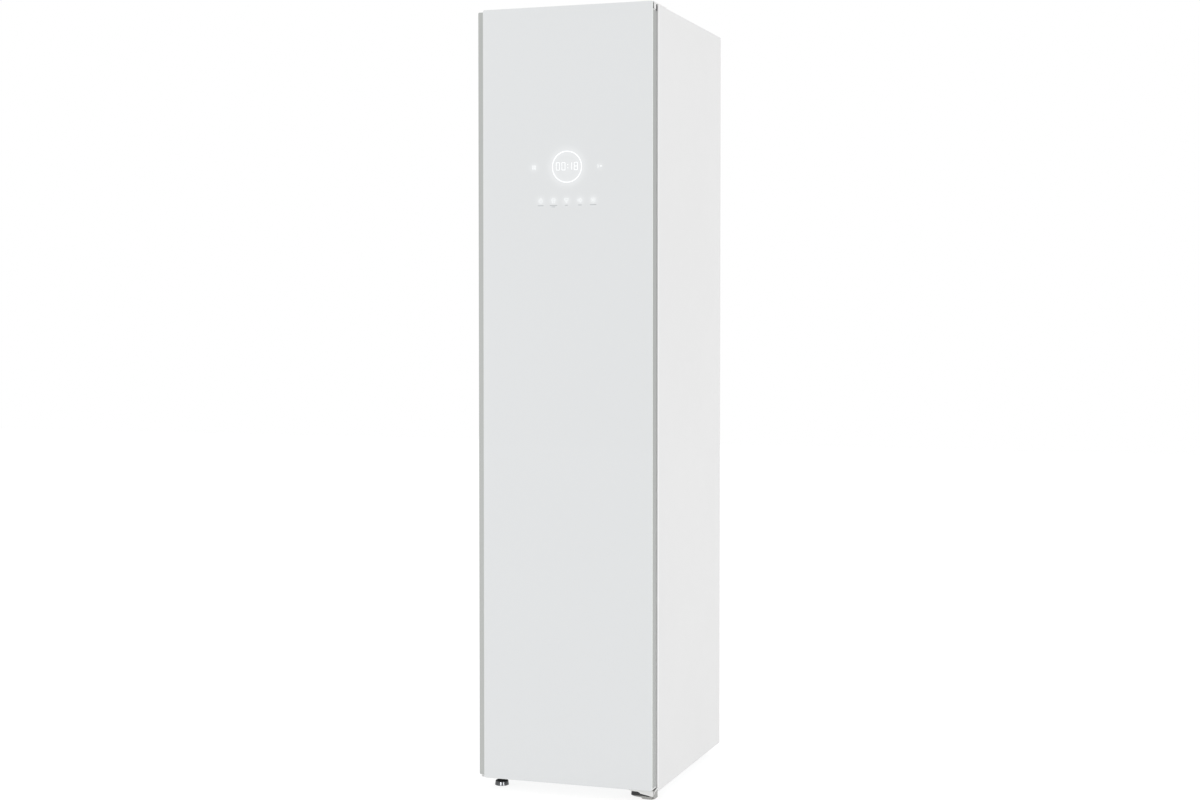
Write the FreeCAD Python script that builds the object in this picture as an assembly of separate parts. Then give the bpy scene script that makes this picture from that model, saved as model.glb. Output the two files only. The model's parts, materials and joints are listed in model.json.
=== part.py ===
import FreeCAD, Part

import math
import os

# A tall clothes care steam cabinet: a narrow insulated closet with one full-height glass door.
# Sizes are in millimetres. +X is to the viewer's right, +Y is to the back and +Z is up.
# The origin is on the floor, under the centre of the cabinet's width and depth.

# Driving dimensions of the whole cabinet
WIDTH = 445.0
DEPTH = 580.0
HEIGHT = 1850.0
RIGHT, LEFT = WIDTH / 2, -WIDTH / 2
FRONT, BACK = -DEPTH / 2, DEPTH / 2

# Casing
SHEET = 1.2
BODY_BOTTOM = 27.0
BODY_TOP = HEIGHT - 3.0
BODY_FRONT = FRONT + 41.0
FRONT_RETURN = 11.0
BEND = 3.0
FRAME_DEPTH = 3.0
FRAME_BACK = BODY_FRONT + FRAME_DEPTH
PANEL_BACK = BACK - 1.2
PANEL_INNER = PANEL_BACK - SHEET
SERVICE_TOP = 344.0
BASE_SHEET = 2.0
BASE_FLANGE = 33.0

# Door
DOOR_REAR = FRONT + 35.0
GLASS = 4.0
GLASS_LEFT, GLASS_RIGHT = -197.5, 220.0
GLASS_BOTTOM = 36.0
GLASS_BACK = FRONT + GLASS
GLASS_CORNER = 5.0
GLASS_BEVEL = 0.5
DOOR_RIGHT = 219.0
DOOR_LEFT = LEFT + 1.5
GRIP_SETBACK = 29.0
GRIP_UNDERCUT = 18.0
PROFILE_WALL = 2.0
TOP_CAP_HEIGHT = 30.0
TOP_CAP_LEDGE = 16.0
BOTTOM_CAP_HEIGHT = 14.0
LINER = 3.0
CHAMBER_HALF = 180.0

# Door hinge
HINGE_X, HINGE_Y = 212.0, -265.0
HINGE_PIN_R = 4.0
RUNNING = 0.1

# Garment chamber
CHAMBER_FLOOR = 330.0
CHAMBER_TOP = 1760.0
CHAMBER_BACK = 222.0
CHAMBER_WALL_END = CHAMBER_BACK + LINER
SLAB = 22.0
REAR_SLAB_BOTTOM = 486.0
SHELF_LEVEL = 470.0
RAIL_DEPTH = 12.0
RAIL_THICK = 6.0

# Tank bay
BAY_BOTTOM, BAY_TOP = 62.0, 298.0
BAY_WALL = 3.0
BAY_BACK = -22.0
TANK_GAP = 4.0
TANK_RIGHT = 172.0
TANK_FRONT = BODY_FRONT + 0.5
TANK_DEPTH = 210.0
TANK_BOTTOM, TANK_TOP = 67.0, 280.0
TANK_WALL = 3.0
TANK_RADIUS = 8.0
HANDLE_WIDTH, HANDLE_HEIGHT, HANDLE_DEPTH = 92.0, 34.0, 26.0
HANDLE_DROP = 26.0
FILLER_R, FILLER_SETBACK = 18.0, 115.5

# Trouser press on the inner side of the door
PRESS_LEFT, PRESS_RIGHT = -125.0, 122.0
PRESS_BOTTOM, PRESS_TOP = 560.0, 1480.0
PRESS_BOARD = 10.0
PRESS_GAP = 4.0
PRESS_PANEL = 14.0
PRESS_AXIS_X, PRESS_AXIS_Y = 134.0, -236.0
PRESS_PIN_R = 3.0
PRESS_HINGES = (620.0, 1000.0, 1380.0)

# Shaking hanger
SHAKER_Y = -10.0
CRANK_R = 15.0
CRANK_PIN_R = 4.0
ROD_R = 4.0
ROD_Z = CHAMBER_TOP + 16.0
ROD_YS = (SHAKER_Y - 32.0, SHAKER_Y + 32.0)
MOTOR_BASE = CHAMBER_TOP + 46.0
BAR_LENGTH, BAR_WIDTH, BAR_HEIGHT = 300.0, 16.0, 24.0
BAR_TOP = 1696.0
NECK_LENGTH, NECK_WIDTH = 40.0, 14.0
NECK_SLOT_LENGTH, NECK_SLOT_WIDTH = 76.0, 22.0
COVER_BOTTOM = 1726.0

# Levelling feet: disc, collar and threaded stud
FOOT_DISC_R, FOOT_DISC_HEIGHT = 17.0, 11.5
FOOT_COLLAR_R = 7.0
FOOT_COLLAR_TOP = 25.0
FOOT_STUD_R = 5.0
FOOT_STUD_TOP = 56.0
FOOT_PLACES = {
    "foot_front_left": (-187.0, -203.0),
    "foot_front_right": (154.0, -188.0),
    "foot_rear_left": (-165.0, 240.0),
    "foot_rear_right": (165.0, 240.0),
}

# Blower
BLOWER_X, BLOWER_Z = -100.0, 216.0
BLOWER_FRONT, BLOWER_BACK = 206.0, 262.0
WHEEL_R, WHEEL_HUB_R = 52.0, 16.0
WHEEL_BLADES = 18
SCROLL_R = 66.0

X_AXIS = FreeCAD.Vector(1, 0, 0)
Y_AXIS = FreeCAD.Vector(0, 1, 0)
Z_AXIS = FreeCAD.Vector(0, 0, 1)


# ---------------------------------------------------------------- shape helpers


def box(x, y, z):
    """A box from three (low, high) pairs."""
    corner = FreeCAD.Vector(x[0], y[0], z[0])
    return Part.makeBox(x[1] - x[0], y[1] - y[0], z[1] - z[0], corner)


def rod(radius, start, axis, length):
    """A round rod from a start point along an axis."""
    return Part.makeCylinder(radius, length, FreeCAD.Vector(*start), axis)


def pipe(outer, inner, start, axis, length):
    """A straight tube."""
    return rod(outer, start, axis, length).cut(rod(inner, start, axis, length))


def along(edge, axis):
    """Whether a straight edge runs along an axis."""
    if edge.Curve.TypeId != "Part::GeomLine":
        return False
    return abs(abs(edge.tangentAt(edge.FirstParameter).dot(axis)) - 1) < 1e-6


def rounded(shape, axis, radius, keep=lambda centre: True):
    """Rounds the edges that run along an axis, where keep says so of the edge's centre."""
    edges = [e for e in shape.Edges if along(e, axis) and keep(e.CenterOfMass)]
    return shape.makeFillet(radius, edges)


def rounded_box(x, y, z, axis, radius):
    """A box with its four edges along one axis rounded."""
    return rounded(box(x, y, z), axis, radius)


def ring(x, y, z, border, corner):
    """A rectangular picture-frame ring in the XZ plane."""
    outer = rounded_box(x, y, z, Y_AXIS, corner)
    inner_x = (x[0] + border, x[1] - border)
    inner_z = (z[0] + border, z[1] - border)
    return outer.cut(rounded_box(inner_x, y, inner_z, Y_AXIS, max(corner - border, 1.0)))


def mirrored(shape):
    """The shape mirrored left to right."""
    return shape.mirror(FreeCAD.Vector(0, 0, 0), X_AXIS)


def fused(shapes):
    """One clean solid from several that touch or overlap."""
    whole = shapes[0]
    if len(shapes) > 1:
        whole = whole.fuse(shapes[1:])
    return whole.removeSplitter()


def cut_all(shape, tools):
    """The shape with every tool cut out of it."""
    return shape.cut(tools) if tools else shape


def group(shapes):
    """Separate solids that share one node."""
    return Part.makeCompound(shapes)


def centred(middle, size):
    """The (low, high) pair of a length about its middle."""
    return (middle - size / 2, middle + size / 2)


def prism(points, z_low, height):
    """A vertical prism from corner points in the XY plane."""
    corners = [FreeCAD.Vector(px, py, z_low) for px, py in points]
    face = Part.Face(Part.makePolygon(corners + corners[:1]))
    return face.extrude(FreeCAD.Vector(0, 0, height))


def bent_tube(points, radius):
    """A tube of straight runs joined by tangent arcs, each as large as its two runs allow."""
    at = [FreeCAD.Vector(*p) for p in points]
    edges, start = [], at[0]
    for before, corner, after in zip(at, at[1:], at[2:]):
        inward, outward = (corner - before).normalize(), (after - corner).normalize()
        turn = inward.getAngle(outward)
        reach = 0.45 * min(before.distanceToPoint(corner), corner.distanceToPoint(after))
        first, last = corner - inward * reach, corner + outward * reach
        bulge = (outward - inward).normalize()
        arc_radius = reach / math.tan(turn / 2)
        middle = corner + bulge * (arc_radius / math.cos(turn / 2) - arc_radius)
        edges.append(Part.LineSegment(start, first).toShape())
        edges.append(Part.Arc(first, middle, last).toShape())
        start = last
    edges.append(Part.LineSegment(start, at[-1]).toShape())
    path = Part.Wire(edges)
    section = Part.Wire(Part.makeCircle(radius, at[0], at[1] - at[0]))
    return path.makePipeShell([section], True, True)


# ---------------------------------------------------------------- casing

BODY_X = (LEFT, RIGHT)
INNER_X = (LEFT + SHEET, RIGHT - SHEET)
FRAME_X = (LEFT + FRONT_RETURN, RIGHT - FRONT_RETURN)
LID_LIP = 14.0
BODY_Z = (BODY_BOTTOM, BODY_TOP)
REAR_SCREWS_Z = (90.0, 300.0, 400.0, 880.0, 1340.0, 1800.0)
REAR_SCREW_X = 206.0
SCREW_SHANK_R, SCREW_HEAD_R = 2.0, 4.0


def side_panel_right():
    """Painted steel side with a folded front edge and a small rear return."""
    sheet = box((RIGHT - SHEET, RIGHT), (BODY_FRONT, BACK), BODY_Z)
    front = box((RIGHT - FRONT_RETURN, RIGHT), (BODY_FRONT, BODY_FRONT + SHEET), BODY_Z)
    panel = fused([sheet, front])
    panel = rounded(panel, Z_AXIS, BEND, lambda c: c.x > RIGHT - 0.1 and c.y < BODY_FRONT + 0.1)
    inner = RIGHT - SHEET
    return rounded(panel, Z_AXIS, BEND - SHEET, lambda c: abs(c.x - inner) < 0.1 and c.y < BODY_FRONT + 5)


def top_cover():
    """Steel lid between the side panels, with a turned-down rear edge."""
    lid = box(INNER_X, (FRAME_BACK, PANEL_INNER), (BODY_TOP - SHEET, BODY_TOP))
    front = box(FRAME_X, (BODY_FRONT, FRAME_BACK), (BODY_TOP - SHEET, BODY_TOP))
    rear_lip = box(INNER_X, (PANEL_INNER - SHEET, PANEL_INNER), (BODY_TOP - LID_LIP, BODY_TOP))
    return fused([lid, front, rear_lip])


def screw_places():
    return [(side * REAR_SCREW_X, z) for side in (-1, 1) for z in REAR_SCREWS_Z]


def screw_holes():
    depth = 4 * SHEET
    return [rod(SCREW_SHANK_R, (x, PANEL_INNER - SHEET, z), Y_AXIS, depth) for x, z in screw_places()]


def rear_panel():
    """Plain galvanised back sheet with two pressed stiffening fields."""
    z = (SERVICE_TOP + 2, BODY_TOP - SHEET)
    sheet = box(INNER_X, (PANEL_INNER, PANEL_BACK), z)
    field = box((-160, 160), (PANEL_BACK - 0.6, PANEL_BACK), (430, 1060))
    upper = box((-160, 160), (PANEL_BACK - 0.6, PANEL_BACK), (1130, 1760))
    return cut_all(sheet, [field, upper] + screw_holes())


LOUVRE_ROWS, LOUVRE_PITCH = 9, 16.0
INLET_X, INLET_Z = 150.0, 318.0
INLET_WIDTH, INLET_HEIGHT, INLET_DEPTH = 30.0, 24.0, 26.0


def service_cover():
    """Removable lower back cover with cooling louvres and the power inlet's cut-out."""
    sheet = box(INNER_X, (PANEL_INNER, PANEL_BACK), (BODY_BOTTOM + BASE_SHEET, SERVICE_TOP))
    slots = []
    for row in range(LOUVRE_ROWS):
        z = 110 + row * LOUVRE_PITCH
        for x in ((-170, -20), (20, 170)):
            slots.append(box(x, (PANEL_INNER - 1, PANEL_BACK + 1), (z, z + 5)))
    inlet = box(
        centred(INLET_X, INLET_WIDTH), (PANEL_INNER - 1, PANEL_BACK + 1), centred(INLET_Z, INLET_HEIGHT)
    )
    return cut_all(sheet, slots + [inlet] + screw_holes())


def power_inlet():
    """Three-pole appliance inlet, set into the service cover."""
    flange = box(
        centred(INLET_X, INLET_WIDTH + 8), (PANEL_BACK, BACK), centred(INLET_Z, INLET_HEIGHT + 8)
    )
    shell = box(
        centred(INLET_X, INLET_WIDTH), (BACK - INLET_DEPTH, BACK), centred(INLET_Z, INLET_HEIGHT)
    )
    cavity = box(
        centred(INLET_X, INLET_WIDTH - 5), (BACK - INLET_DEPTH + 4, BACK), centred(INLET_Z, INLET_HEIGHT - 7)
    )
    body = fused([flange, shell]).cut(cavity)
    pins = [
        box(centred(INLET_X + dx, 2), (BACK - INLET_DEPTH + 2, BACK - 8), centred(INLET_Z + dz, 4))
        for dx, dz in ((-7, -1.5), (0, 2), (7, -1.5))
    ]
    return fused([body] + pins)


def casing_screws():
    """Pan-head screws that hold the back panel and the service cover."""
    screws = []
    for x, z in screw_places():
        head = rod(SCREW_HEAD_R, (x, PANEL_BACK, z), Y_AXIS, BACK - PANEL_BACK)
        shank = rod(SCREW_SHANK_R, (x, PANEL_INNER, z), Y_AXIS, PANEL_BACK - PANEL_INNER)
        screws.append(head.fuse(shank).removeSplitter())
    return group(screws)


FOOT_BOSS_R = 12.0


def base_pan():
    """Folded steel pan that carries the machinery and the four threaded foot bosses."""
    y = (FRAME_BACK, PANEL_INNER)
    z = (BODY_BOTTOM, BODY_BOTTOM + BASE_FLANGE)
    outer = box(INNER_X, y, z)
    hollow = box(
        (INNER_X[0] + BASE_SHEET, INNER_X[1] - BASE_SHEET),
        (y[0] + BASE_SHEET, y[1] - BASE_SHEET),
        (z[0] + BASE_SHEET, z[1] + 1),
    )
    pan = outer.cut(hollow)
    floor = BODY_BOTTOM + BASE_SHEET
    bosses = [rod(FOOT_BOSS_R, (x, fy, floor - 1), Z_AXIS, 20) for x, fy in FOOT_PLACES.values()]
    bores = [
        rod(FOOT_STUD_R + RUNNING, (x, fy, BODY_BOTTOM - 1), Z_AXIS, 40) for x, fy in FOOT_PLACES.values()
    ]
    return cut_all(fused([pan] + bosses), bores)


def front_frame():
    """Steel frame round the garment chamber and the tank bay, which the door seal closes on."""
    plate = box(FRAME_X, (BODY_FRONT, FRAME_BACK), (BODY_BOTTOM, BODY_TOP - SHEET))
    inside = (-CHAMBER_HALF, CHAMBER_HALF)
    through = (BODY_FRONT - 1, FRAME_BACK + 1)
    chamber = rounded_box(inside, through, (CHAMBER_FLOOR, CHAMBER_TOP), Y_AXIS, 6)
    bay = rounded_box((-176, 176), through, (BAY_BOTTOM + 4, BAY_TOP - 4), Y_AXIS, 6)
    return plate.cut([chamber, bay])


def insulation():
    """Moulded foam slabs on the outer faces of the chamber's walls."""
    wall_x = CHAMBER_HALF + LINER
    slab_y, rear_y = (FRAME_BACK, CHAMBER_WALL_END), (CHAMBER_WALL_END, CHAMBER_WALL_END + SLAB)
    right = box((wall_x, wall_x + SLAB), slab_y, (CHAMBER_FLOOR, CHAMBER_TOP))
    rear = box((-wall_x, wall_x), rear_y, (REAR_SLAB_BOTTOM, CHAMBER_TOP))
    return group([mirrored(right), right, rear])


# ---------------------------------------------------------------- garment chamber

VENT_X, VENT_Z = (-150.0, -50.0), (350.0, 450.0)
FLOOR_GRILLE_X, FLOOR_GRILLE_Y = (-110.0, 110.0), (-110.0, 60.0)
FILTER_X, FILTER_Y = (-150.0, 10.0), (-222.0, -162.0)
SCENT_X, SCENT_Y = (60.0, 140.0), (-216.0, -168.0)
NOZZLE_X, NOZZLE_Y, NOZZLE_R = 0.0, 140.0, 17.0
PIPE_R = 6.0
SEAT = 3.0


def chamber_right_wall():
    """Inner side wall with a shelf rail and three long stiffening ribs."""
    z = (CHAMBER_FLOOR, CHAMBER_TOP)
    wall = box((CHAMBER_HALF, CHAMBER_HALF + LINER), (FRAME_BACK, CHAMBER_BACK), z)
    rail = box(
        (CHAMBER_HALF - RAIL_DEPTH, CHAMBER_HALF), (-190, 190), (SHELF_LEVEL, SHELF_LEVEL + RAIL_THICK)
    )
    ribs = [
        rounded(
            box((CHAMBER_HALF - 1.5, CHAMBER_HALF), centred(y, 10), (560, 1660)),
            Z_AXIS,
            1.2,
            lambda c: c.x < CHAMBER_HALF - 1,
        )
        for y in (-120, 0, 120)
    ]
    return fused([wall, rail] + ribs)


def chamber_back_wall():
    """Inner back wall with the warm air outlet's opening and a shallow centre field."""
    across = (-CHAMBER_HALF - LINER, CHAMBER_HALF + LINER)
    wall = box(across, (CHAMBER_BACK, CHAMBER_WALL_END), (CHAMBER_FLOOR, CHAMBER_TOP))
    vent = box(VENT_X, (CHAMBER_BACK - 1, CHAMBER_WALL_END + 1), VENT_Z)
    other_vent = mirrored(vent)
    field = rounded_box((-130, 130), (CHAMBER_BACK, CHAMBER_BACK + 1.2), (560, 1660), Y_AXIS, 16)
    return wall.cut([vent, other_vent, field])


def chamber_ceiling():
    """Inner ceiling with the slot that the hanger's neck passes through."""
    across = (-CHAMBER_HALF - LINER, CHAMBER_HALF + LINER)
    plate = box(across, (FRAME_BACK, CHAMBER_WALL_END), (CHAMBER_TOP, CHAMBER_TOP + LINER))
    slot = box(
        centred(0, NECK_SLOT_LENGTH), centred(SHAKER_Y, NECK_SLOT_WIDTH), (CHAMBER_TOP - 1, CHAMBER_TOP + 9)
    )
    return plate.cut(slot)


def chamber_floor():
    """Inner floor with openings for the air return, the lint filter, the scent box and the steam nozzle."""
    across = (-CHAMBER_HALF - LINER, CHAMBER_HALF + LINER)
    low, high = CHAMBER_FLOOR - LINER, CHAMBER_FLOOR
    plate = box(across, (FRAME_BACK, CHAMBER_WALL_END), (low, high))
    through = (low - 1, high + 1)
    openings = [
        box((x[0] + SEAT, x[1] - SEAT), (y[0] + SEAT, y[1] - SEAT), through)
        for x, y in ((FLOOR_GRILLE_X, FLOOR_GRILLE_Y), (FILTER_X, FILTER_Y), (SCENT_X, SCENT_Y))
    ]
    nozzle = rod(NOZZLE_R - SEAT, (NOZZLE_X, NOZZLE_Y, low - 1), Z_AXIS, LINER + 2)
    return plate.cut(openings + [nozzle])


def slotted(plate, slots):
    """A grille: a plate with rounded-end slots cut through it."""
    return plate.cut(slots)


def floor_grille():
    """Air return grille in the chamber floor, with long slots from left to right."""
    z = (CHAMBER_FLOOR, CHAMBER_FLOOR + 4)
    plate = rounded_box(FLOOR_GRILLE_X, FLOOR_GRILLE_Y, z, Z_AXIS, 6)
    slots = []
    for row in range(11):
        y = FLOOR_GRILLE_Y[0] + 12 + row * 13.6
        for x in ((-98, -4), (4, 98)):
            slots.append(box(x, (y, y + 7), (z[0] - 1, z[1] + 1)))
    return slotted(plate, slots)


def back_vents():
    """Two warm air outlet grilles in the back wall."""
    y = (CHAMBER_BACK - 3, CHAMBER_WALL_END)
    plate = box(VENT_X, (CHAMBER_BACK, CHAMBER_WALL_END), VENT_Z)
    face_x, face_z = (VENT_X[0] - 4, VENT_X[1] + 4), (VENT_Z[0] - 4, VENT_Z[1] + 4)
    face = rounded_box(face_x, (y[0], CHAMBER_BACK), face_z, Y_AXIS, 6)
    slots = []
    for row in range(8):
        z = VENT_Z[0] + 7 + row * 11.2
        slots.append(box((VENT_X[0] + 7, VENT_X[1] - 7), (y[0] - 1, y[1] + 1), (z, z + 6)))
    left = slotted(fused([face, plate]), slots)
    return group([left, mirrored(left)])


def steam_nozzle():
    """Domed steam outlet in the floor, with a spigot below for its hose."""
    place = (NOZZLE_X, NOZZLE_Y, CHAMBER_FLOOR)
    flange = rod(NOZZLE_R + 3, place, Z_AXIS, 3)
    dome = Part.makeCone(NOZZLE_R, NOZZLE_R * 0.6, 9, FreeCAD.Vector(NOZZLE_X, NOZZLE_Y, CHAMBER_FLOOR + 3))
    neck = rod(NOZZLE_R - SEAT - 0.5, (NOZZLE_X, NOZZLE_Y, CHAMBER_FLOOR - 8), Z_AXIS, 8)
    spigot = rod(PIPE_R, (NOZZLE_X, NOZZLE_Y, CHAMBER_FLOOR - 22), Z_AXIS, 14)
    bore = rod(PIPE_R - 2, (NOZZLE_X, NOZZLE_Y, CHAMBER_FLOOR - 23), Z_AXIS, 30)
    jets = []
    for turn in range(6):
        angle = math.radians(60 * turn)
        direction = FreeCAD.Vector(math.cos(angle), math.sin(angle), 0)
        jets.append(rod(1.6, (NOZZLE_X, NOZZLE_Y, CHAMBER_FLOOR + 5), direction, 30))
    return cut_all(fused([flange, dome, neck, spigot]), [bore] + jets)


def chamber_lamp():
    """Long lamp lens under the ceiling, near the door."""
    lens = box((-70, 70), (-205, -177), (CHAMBER_TOP - 7, CHAMBER_TOP))
    return rounded(lens, X_AXIS, 5, lambda c: c.z < CHAMBER_TOP - 6)


def lint_filter():
    """Lift-out lint tray: a flanged rim, a shallow slotted basket and a grip bar."""
    rim_z = (CHAMBER_FLOOR + 0.2, CHAMBER_FLOOR + 3.2)
    rim = rounded_box(FILTER_X, FILTER_Y, rim_z, Z_AXIS, 5)
    wall_x = (FILTER_X[0] + SEAT + 1, FILTER_X[1] - SEAT - 1)
    wall_y = (FILTER_Y[0] + SEAT + 1, FILTER_Y[1] - SEAT - 1)
    basket = box(wall_x, wall_y, (CHAMBER_FLOOR - 22, rim_z[0]))
    inside = box(
        (wall_x[0] + 2, wall_x[1] - 2), (wall_y[0] + 2, wall_y[1] - 2), (CHAMBER_FLOOR - 20, rim_z[1] + 1)
    )
    tray = fused([rim, basket]).cut(inside)
    slots = [
        box((x, x + 5), (wall_y[0] + 6, wall_y[1] - 6), (CHAMBER_FLOOR - 23, CHAMBER_FLOOR - 19))
        for x in [wall_x[0] + 10 + 11 * i for i in range(12)]
    ]
    middle = (FILTER_X[0] + FILTER_X[1]) / 2
    grip = box(centred(middle, 8), (wall_y[0] + 1, wall_y[1] - 1), (CHAMBER_FLOOR - 6, CHAMBER_FLOOR + 3.2))
    return fused([tray.cut(slots), grip])


def scent_box():
    """Lift-out fragrance cassette with a slotted lid."""
    lid_z = (CHAMBER_FLOOR + 0.2, CHAMBER_FLOOR + 9.2)
    lid = rounded_box(SCENT_X, SCENT_Y, lid_z, Z_AXIS, 6)
    wall_x = (SCENT_X[0] + SEAT + 1, SCENT_X[1] - SEAT - 1)
    wall_y = (SCENT_Y[0] + SEAT + 1, SCENT_Y[1] - SEAT - 1)
    cup = box(wall_x, wall_y, (CHAMBER_FLOOR - 20, lid_z[0]))
    slots = [
        box((x, x + 4), (SCENT_Y[0] + 10, SCENT_Y[1] - 10), (lid_z[0] + 3, lid_z[1] + 1))
        for x in [SCENT_X[0] + 14 + 10 * i for i in range(6)]
    ]
    return fused([lid, cup]).cut(slots)


def shelf():
    """Slatted lift-out shelf that rests on the side rails."""
    z = (SHELF_LEVEL + RAIL_THICK + 0.2, SHELF_LEVEL + RAIL_THICK + 10.2)
    x, y = (-176, 176), (-185, 185)
    plate = rounded_box(x, y, z, Z_AXIS, 14)
    pitch, slat_gap = 30.0, 18.0
    slots = [
        rounded_box(centred(i * pitch, slat_gap), (y[0] + 18, y[1] - 18), (z[0] - 1, z[1] + 1), Z_AXIS, 6)
        for i in range(-5, 6)
    ]
    return plate.cut(slots)


# ---------------------------------------------------------------- shaking hanger


def drive_plate():
    """Bracket above the ceiling: two rod ends and four motor posts on one plate."""
    floor_z = (CHAMBER_TOP + LINER, CHAMBER_TOP + LINER + 2)
    plate = box((-110, 110), centred(SHAKER_Y, 150), floor_z)
    slot_z = (floor_z[0] - 1, floor_z[1] + 1)
    slot = box(centred(0, NECK_SLOT_LENGTH), centred(SHAKER_Y, NECK_SLOT_WIDTH), slot_z)
    ends = [box(centred(x, 6), centred(SHAKER_Y, 90), (floor_z[1], ROD_Z + 12)) for x in (-84, 84)]
    motor_z = (MOTOR_BASE - 3, MOTOR_BASE)
    posts = [
        rod(4, (x, SHAKER_Y + dy, floor_z[1]), Z_AXIS, motor_z[0] - floor_z[1])
        for x in (-66, 66)
        for dy in (-62, 62)
    ]
    deck = box((-74, 74), centred(SHAKER_Y, 140), motor_z)
    shaft_hole = rod(8, (0, SHAKER_Y, motor_z[0] - 1), Z_AXIS, 5)
    rod_holes = [rod(ROD_R, (-100, y, ROD_Z), X_AXIS, 200) for y in ROD_YS]
    return fused([plate.cut(slot)] + ends + posts + [deck]).cut([shaft_hole] + rod_holes)


def guide_rods():
    """Two ground steel rods that the hanger's carriage runs on."""
    return group([rod(ROD_R, (-92, y, ROD_Z), X_AXIS, 184) for y in ROD_YS])


def shaker_motor():
    """Geared motor on the drive bracket's deck."""
    gearbox = rod(36, (0, SHAKER_Y, MOTOR_BASE), Z_AXIS, 14)
    can = rod(27, (0, SHAKER_Y, MOTOR_BASE + 14), Z_AXIS, 22)
    ear = box((-50, 50), centred(SHAKER_Y, 20), (MOTOR_BASE, MOTOR_BASE + 4))
    bore = rod(5, (0, SHAKER_Y, MOTOR_BASE - 1), Z_AXIS, 11)
    return fused([gearbox, can, ear]).cut(bore)


def crank():
    """Crank disc with its shaft above and the crank pin below."""
    disc = rod(22, (0, SHAKER_Y, CHAMBER_TOP + 31), Z_AXIS, 6)
    shaft = rod(4.5, (0, SHAKER_Y, CHAMBER_TOP + 37), Z_AXIS, 16)
    pin = rod(CRANK_PIN_R, (0, SHAKER_Y + CRANK_R, CHAMBER_TOP + 16), Z_AXIS, 15)
    return fused([disc, shaft, pin])


def hanger_carriage():
    """Slider on the guide rods, with the crank pin's cross slot and the neck that carries the bar."""
    block = box((-45, 45), centred(SHAKER_Y, 84), (ROD_Z - 8, ROD_Z + 9))
    slot = rounded_box((-5.2, 5.2), centred(SHAKER_Y, 42), (ROD_Z - 2, ROD_Z + 10), Z_AXIS, 5)
    bores = [rod(ROD_R + RUNNING, (-46, y, ROD_Z), X_AXIS, 92) for y in ROD_YS]
    neck = rounded_box(
        centred(0, NECK_LENGTH), centred(SHAKER_Y, NECK_WIDTH), (BAR_TOP, ROD_Z - 7), Z_AXIS, 5
    )
    return fused([block, neck]).cut([slot] + bores)


NOTCH_WIDTH, NOTCH_DEPTH = 9.0, 7.0
NOTCHES = (-128.0, -94.0, -60.0, 60.0, 94.0, 128.0)


def hanger_bar():
    """Horizontal bar with notches for hanger hooks."""
    bar = rounded_box(
        centred(0, BAR_LENGTH), centred(SHAKER_Y, BAR_WIDTH), (BAR_TOP - BAR_HEIGHT, BAR_TOP), X_AXIS, 5
    )
    notches = [
        rounded(
            box(centred(x, NOTCH_WIDTH), centred(SHAKER_Y, 30), (BAR_TOP - NOTCH_DEPTH, BAR_TOP + 1)),
            Y_AXIS,
            3,
            lambda c: c.z < BAR_TOP - 1,
        )
        for x in NOTCHES
    ]
    return bar.cut(notches)


def drive_cover():
    """Smooth moulded cover under the ceiling, open in the middle for the hanger's neck."""
    z = (COVER_BOTTOM, CHAMBER_TOP)
    shell = rounded_box((-168, 168), centred(SHAKER_Y, 110), z, Z_AXIS, 24)
    shell = rounded(shell, X_AXIS, 12, lambda c: c.z < COVER_BOTTOM + 1)
    hollow = box((-150, 150), centred(SHAKER_Y, 92), (COVER_BOTTOM + 3, CHAMBER_TOP + 1))
    slot_y = centred(SHAKER_Y, NECK_SLOT_WIDTH)
    slot = box(centred(0, NECK_SLOT_LENGTH), slot_y, (COVER_BOTTOM - 1, CHAMBER_TOP))
    return shell.cut([hollow, slot])


# ---------------------------------------------------------------- water tanks


def tank_bay():
    """Moulded bay that the two tanks slide into, with a low rib between them."""
    outer = box((-180, 180), (FRAME_BACK, BAY_BACK + BAY_WALL), (BAY_BOTTOM, BAY_TOP))
    inner = box(
        (-180 + BAY_WALL, 180 - BAY_WALL),
        (FRAME_BACK - 1, BAY_BACK),
        (BAY_BOTTOM + BAY_WALL, BAY_TOP - BAY_WALL),
    )
    rib = box(centred(0, 4), (FRAME_BACK + 6, BAY_BACK), (BAY_BOTTOM + BAY_WALL, BAY_BOTTOM + 30))
    ports = [rod(7, (side * 88, BAY_BACK - 1, 90), Y_AXIS, 8) for side in (-1, 1)]
    return fused([outer.cut(inner), rib]).cut(ports)


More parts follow.
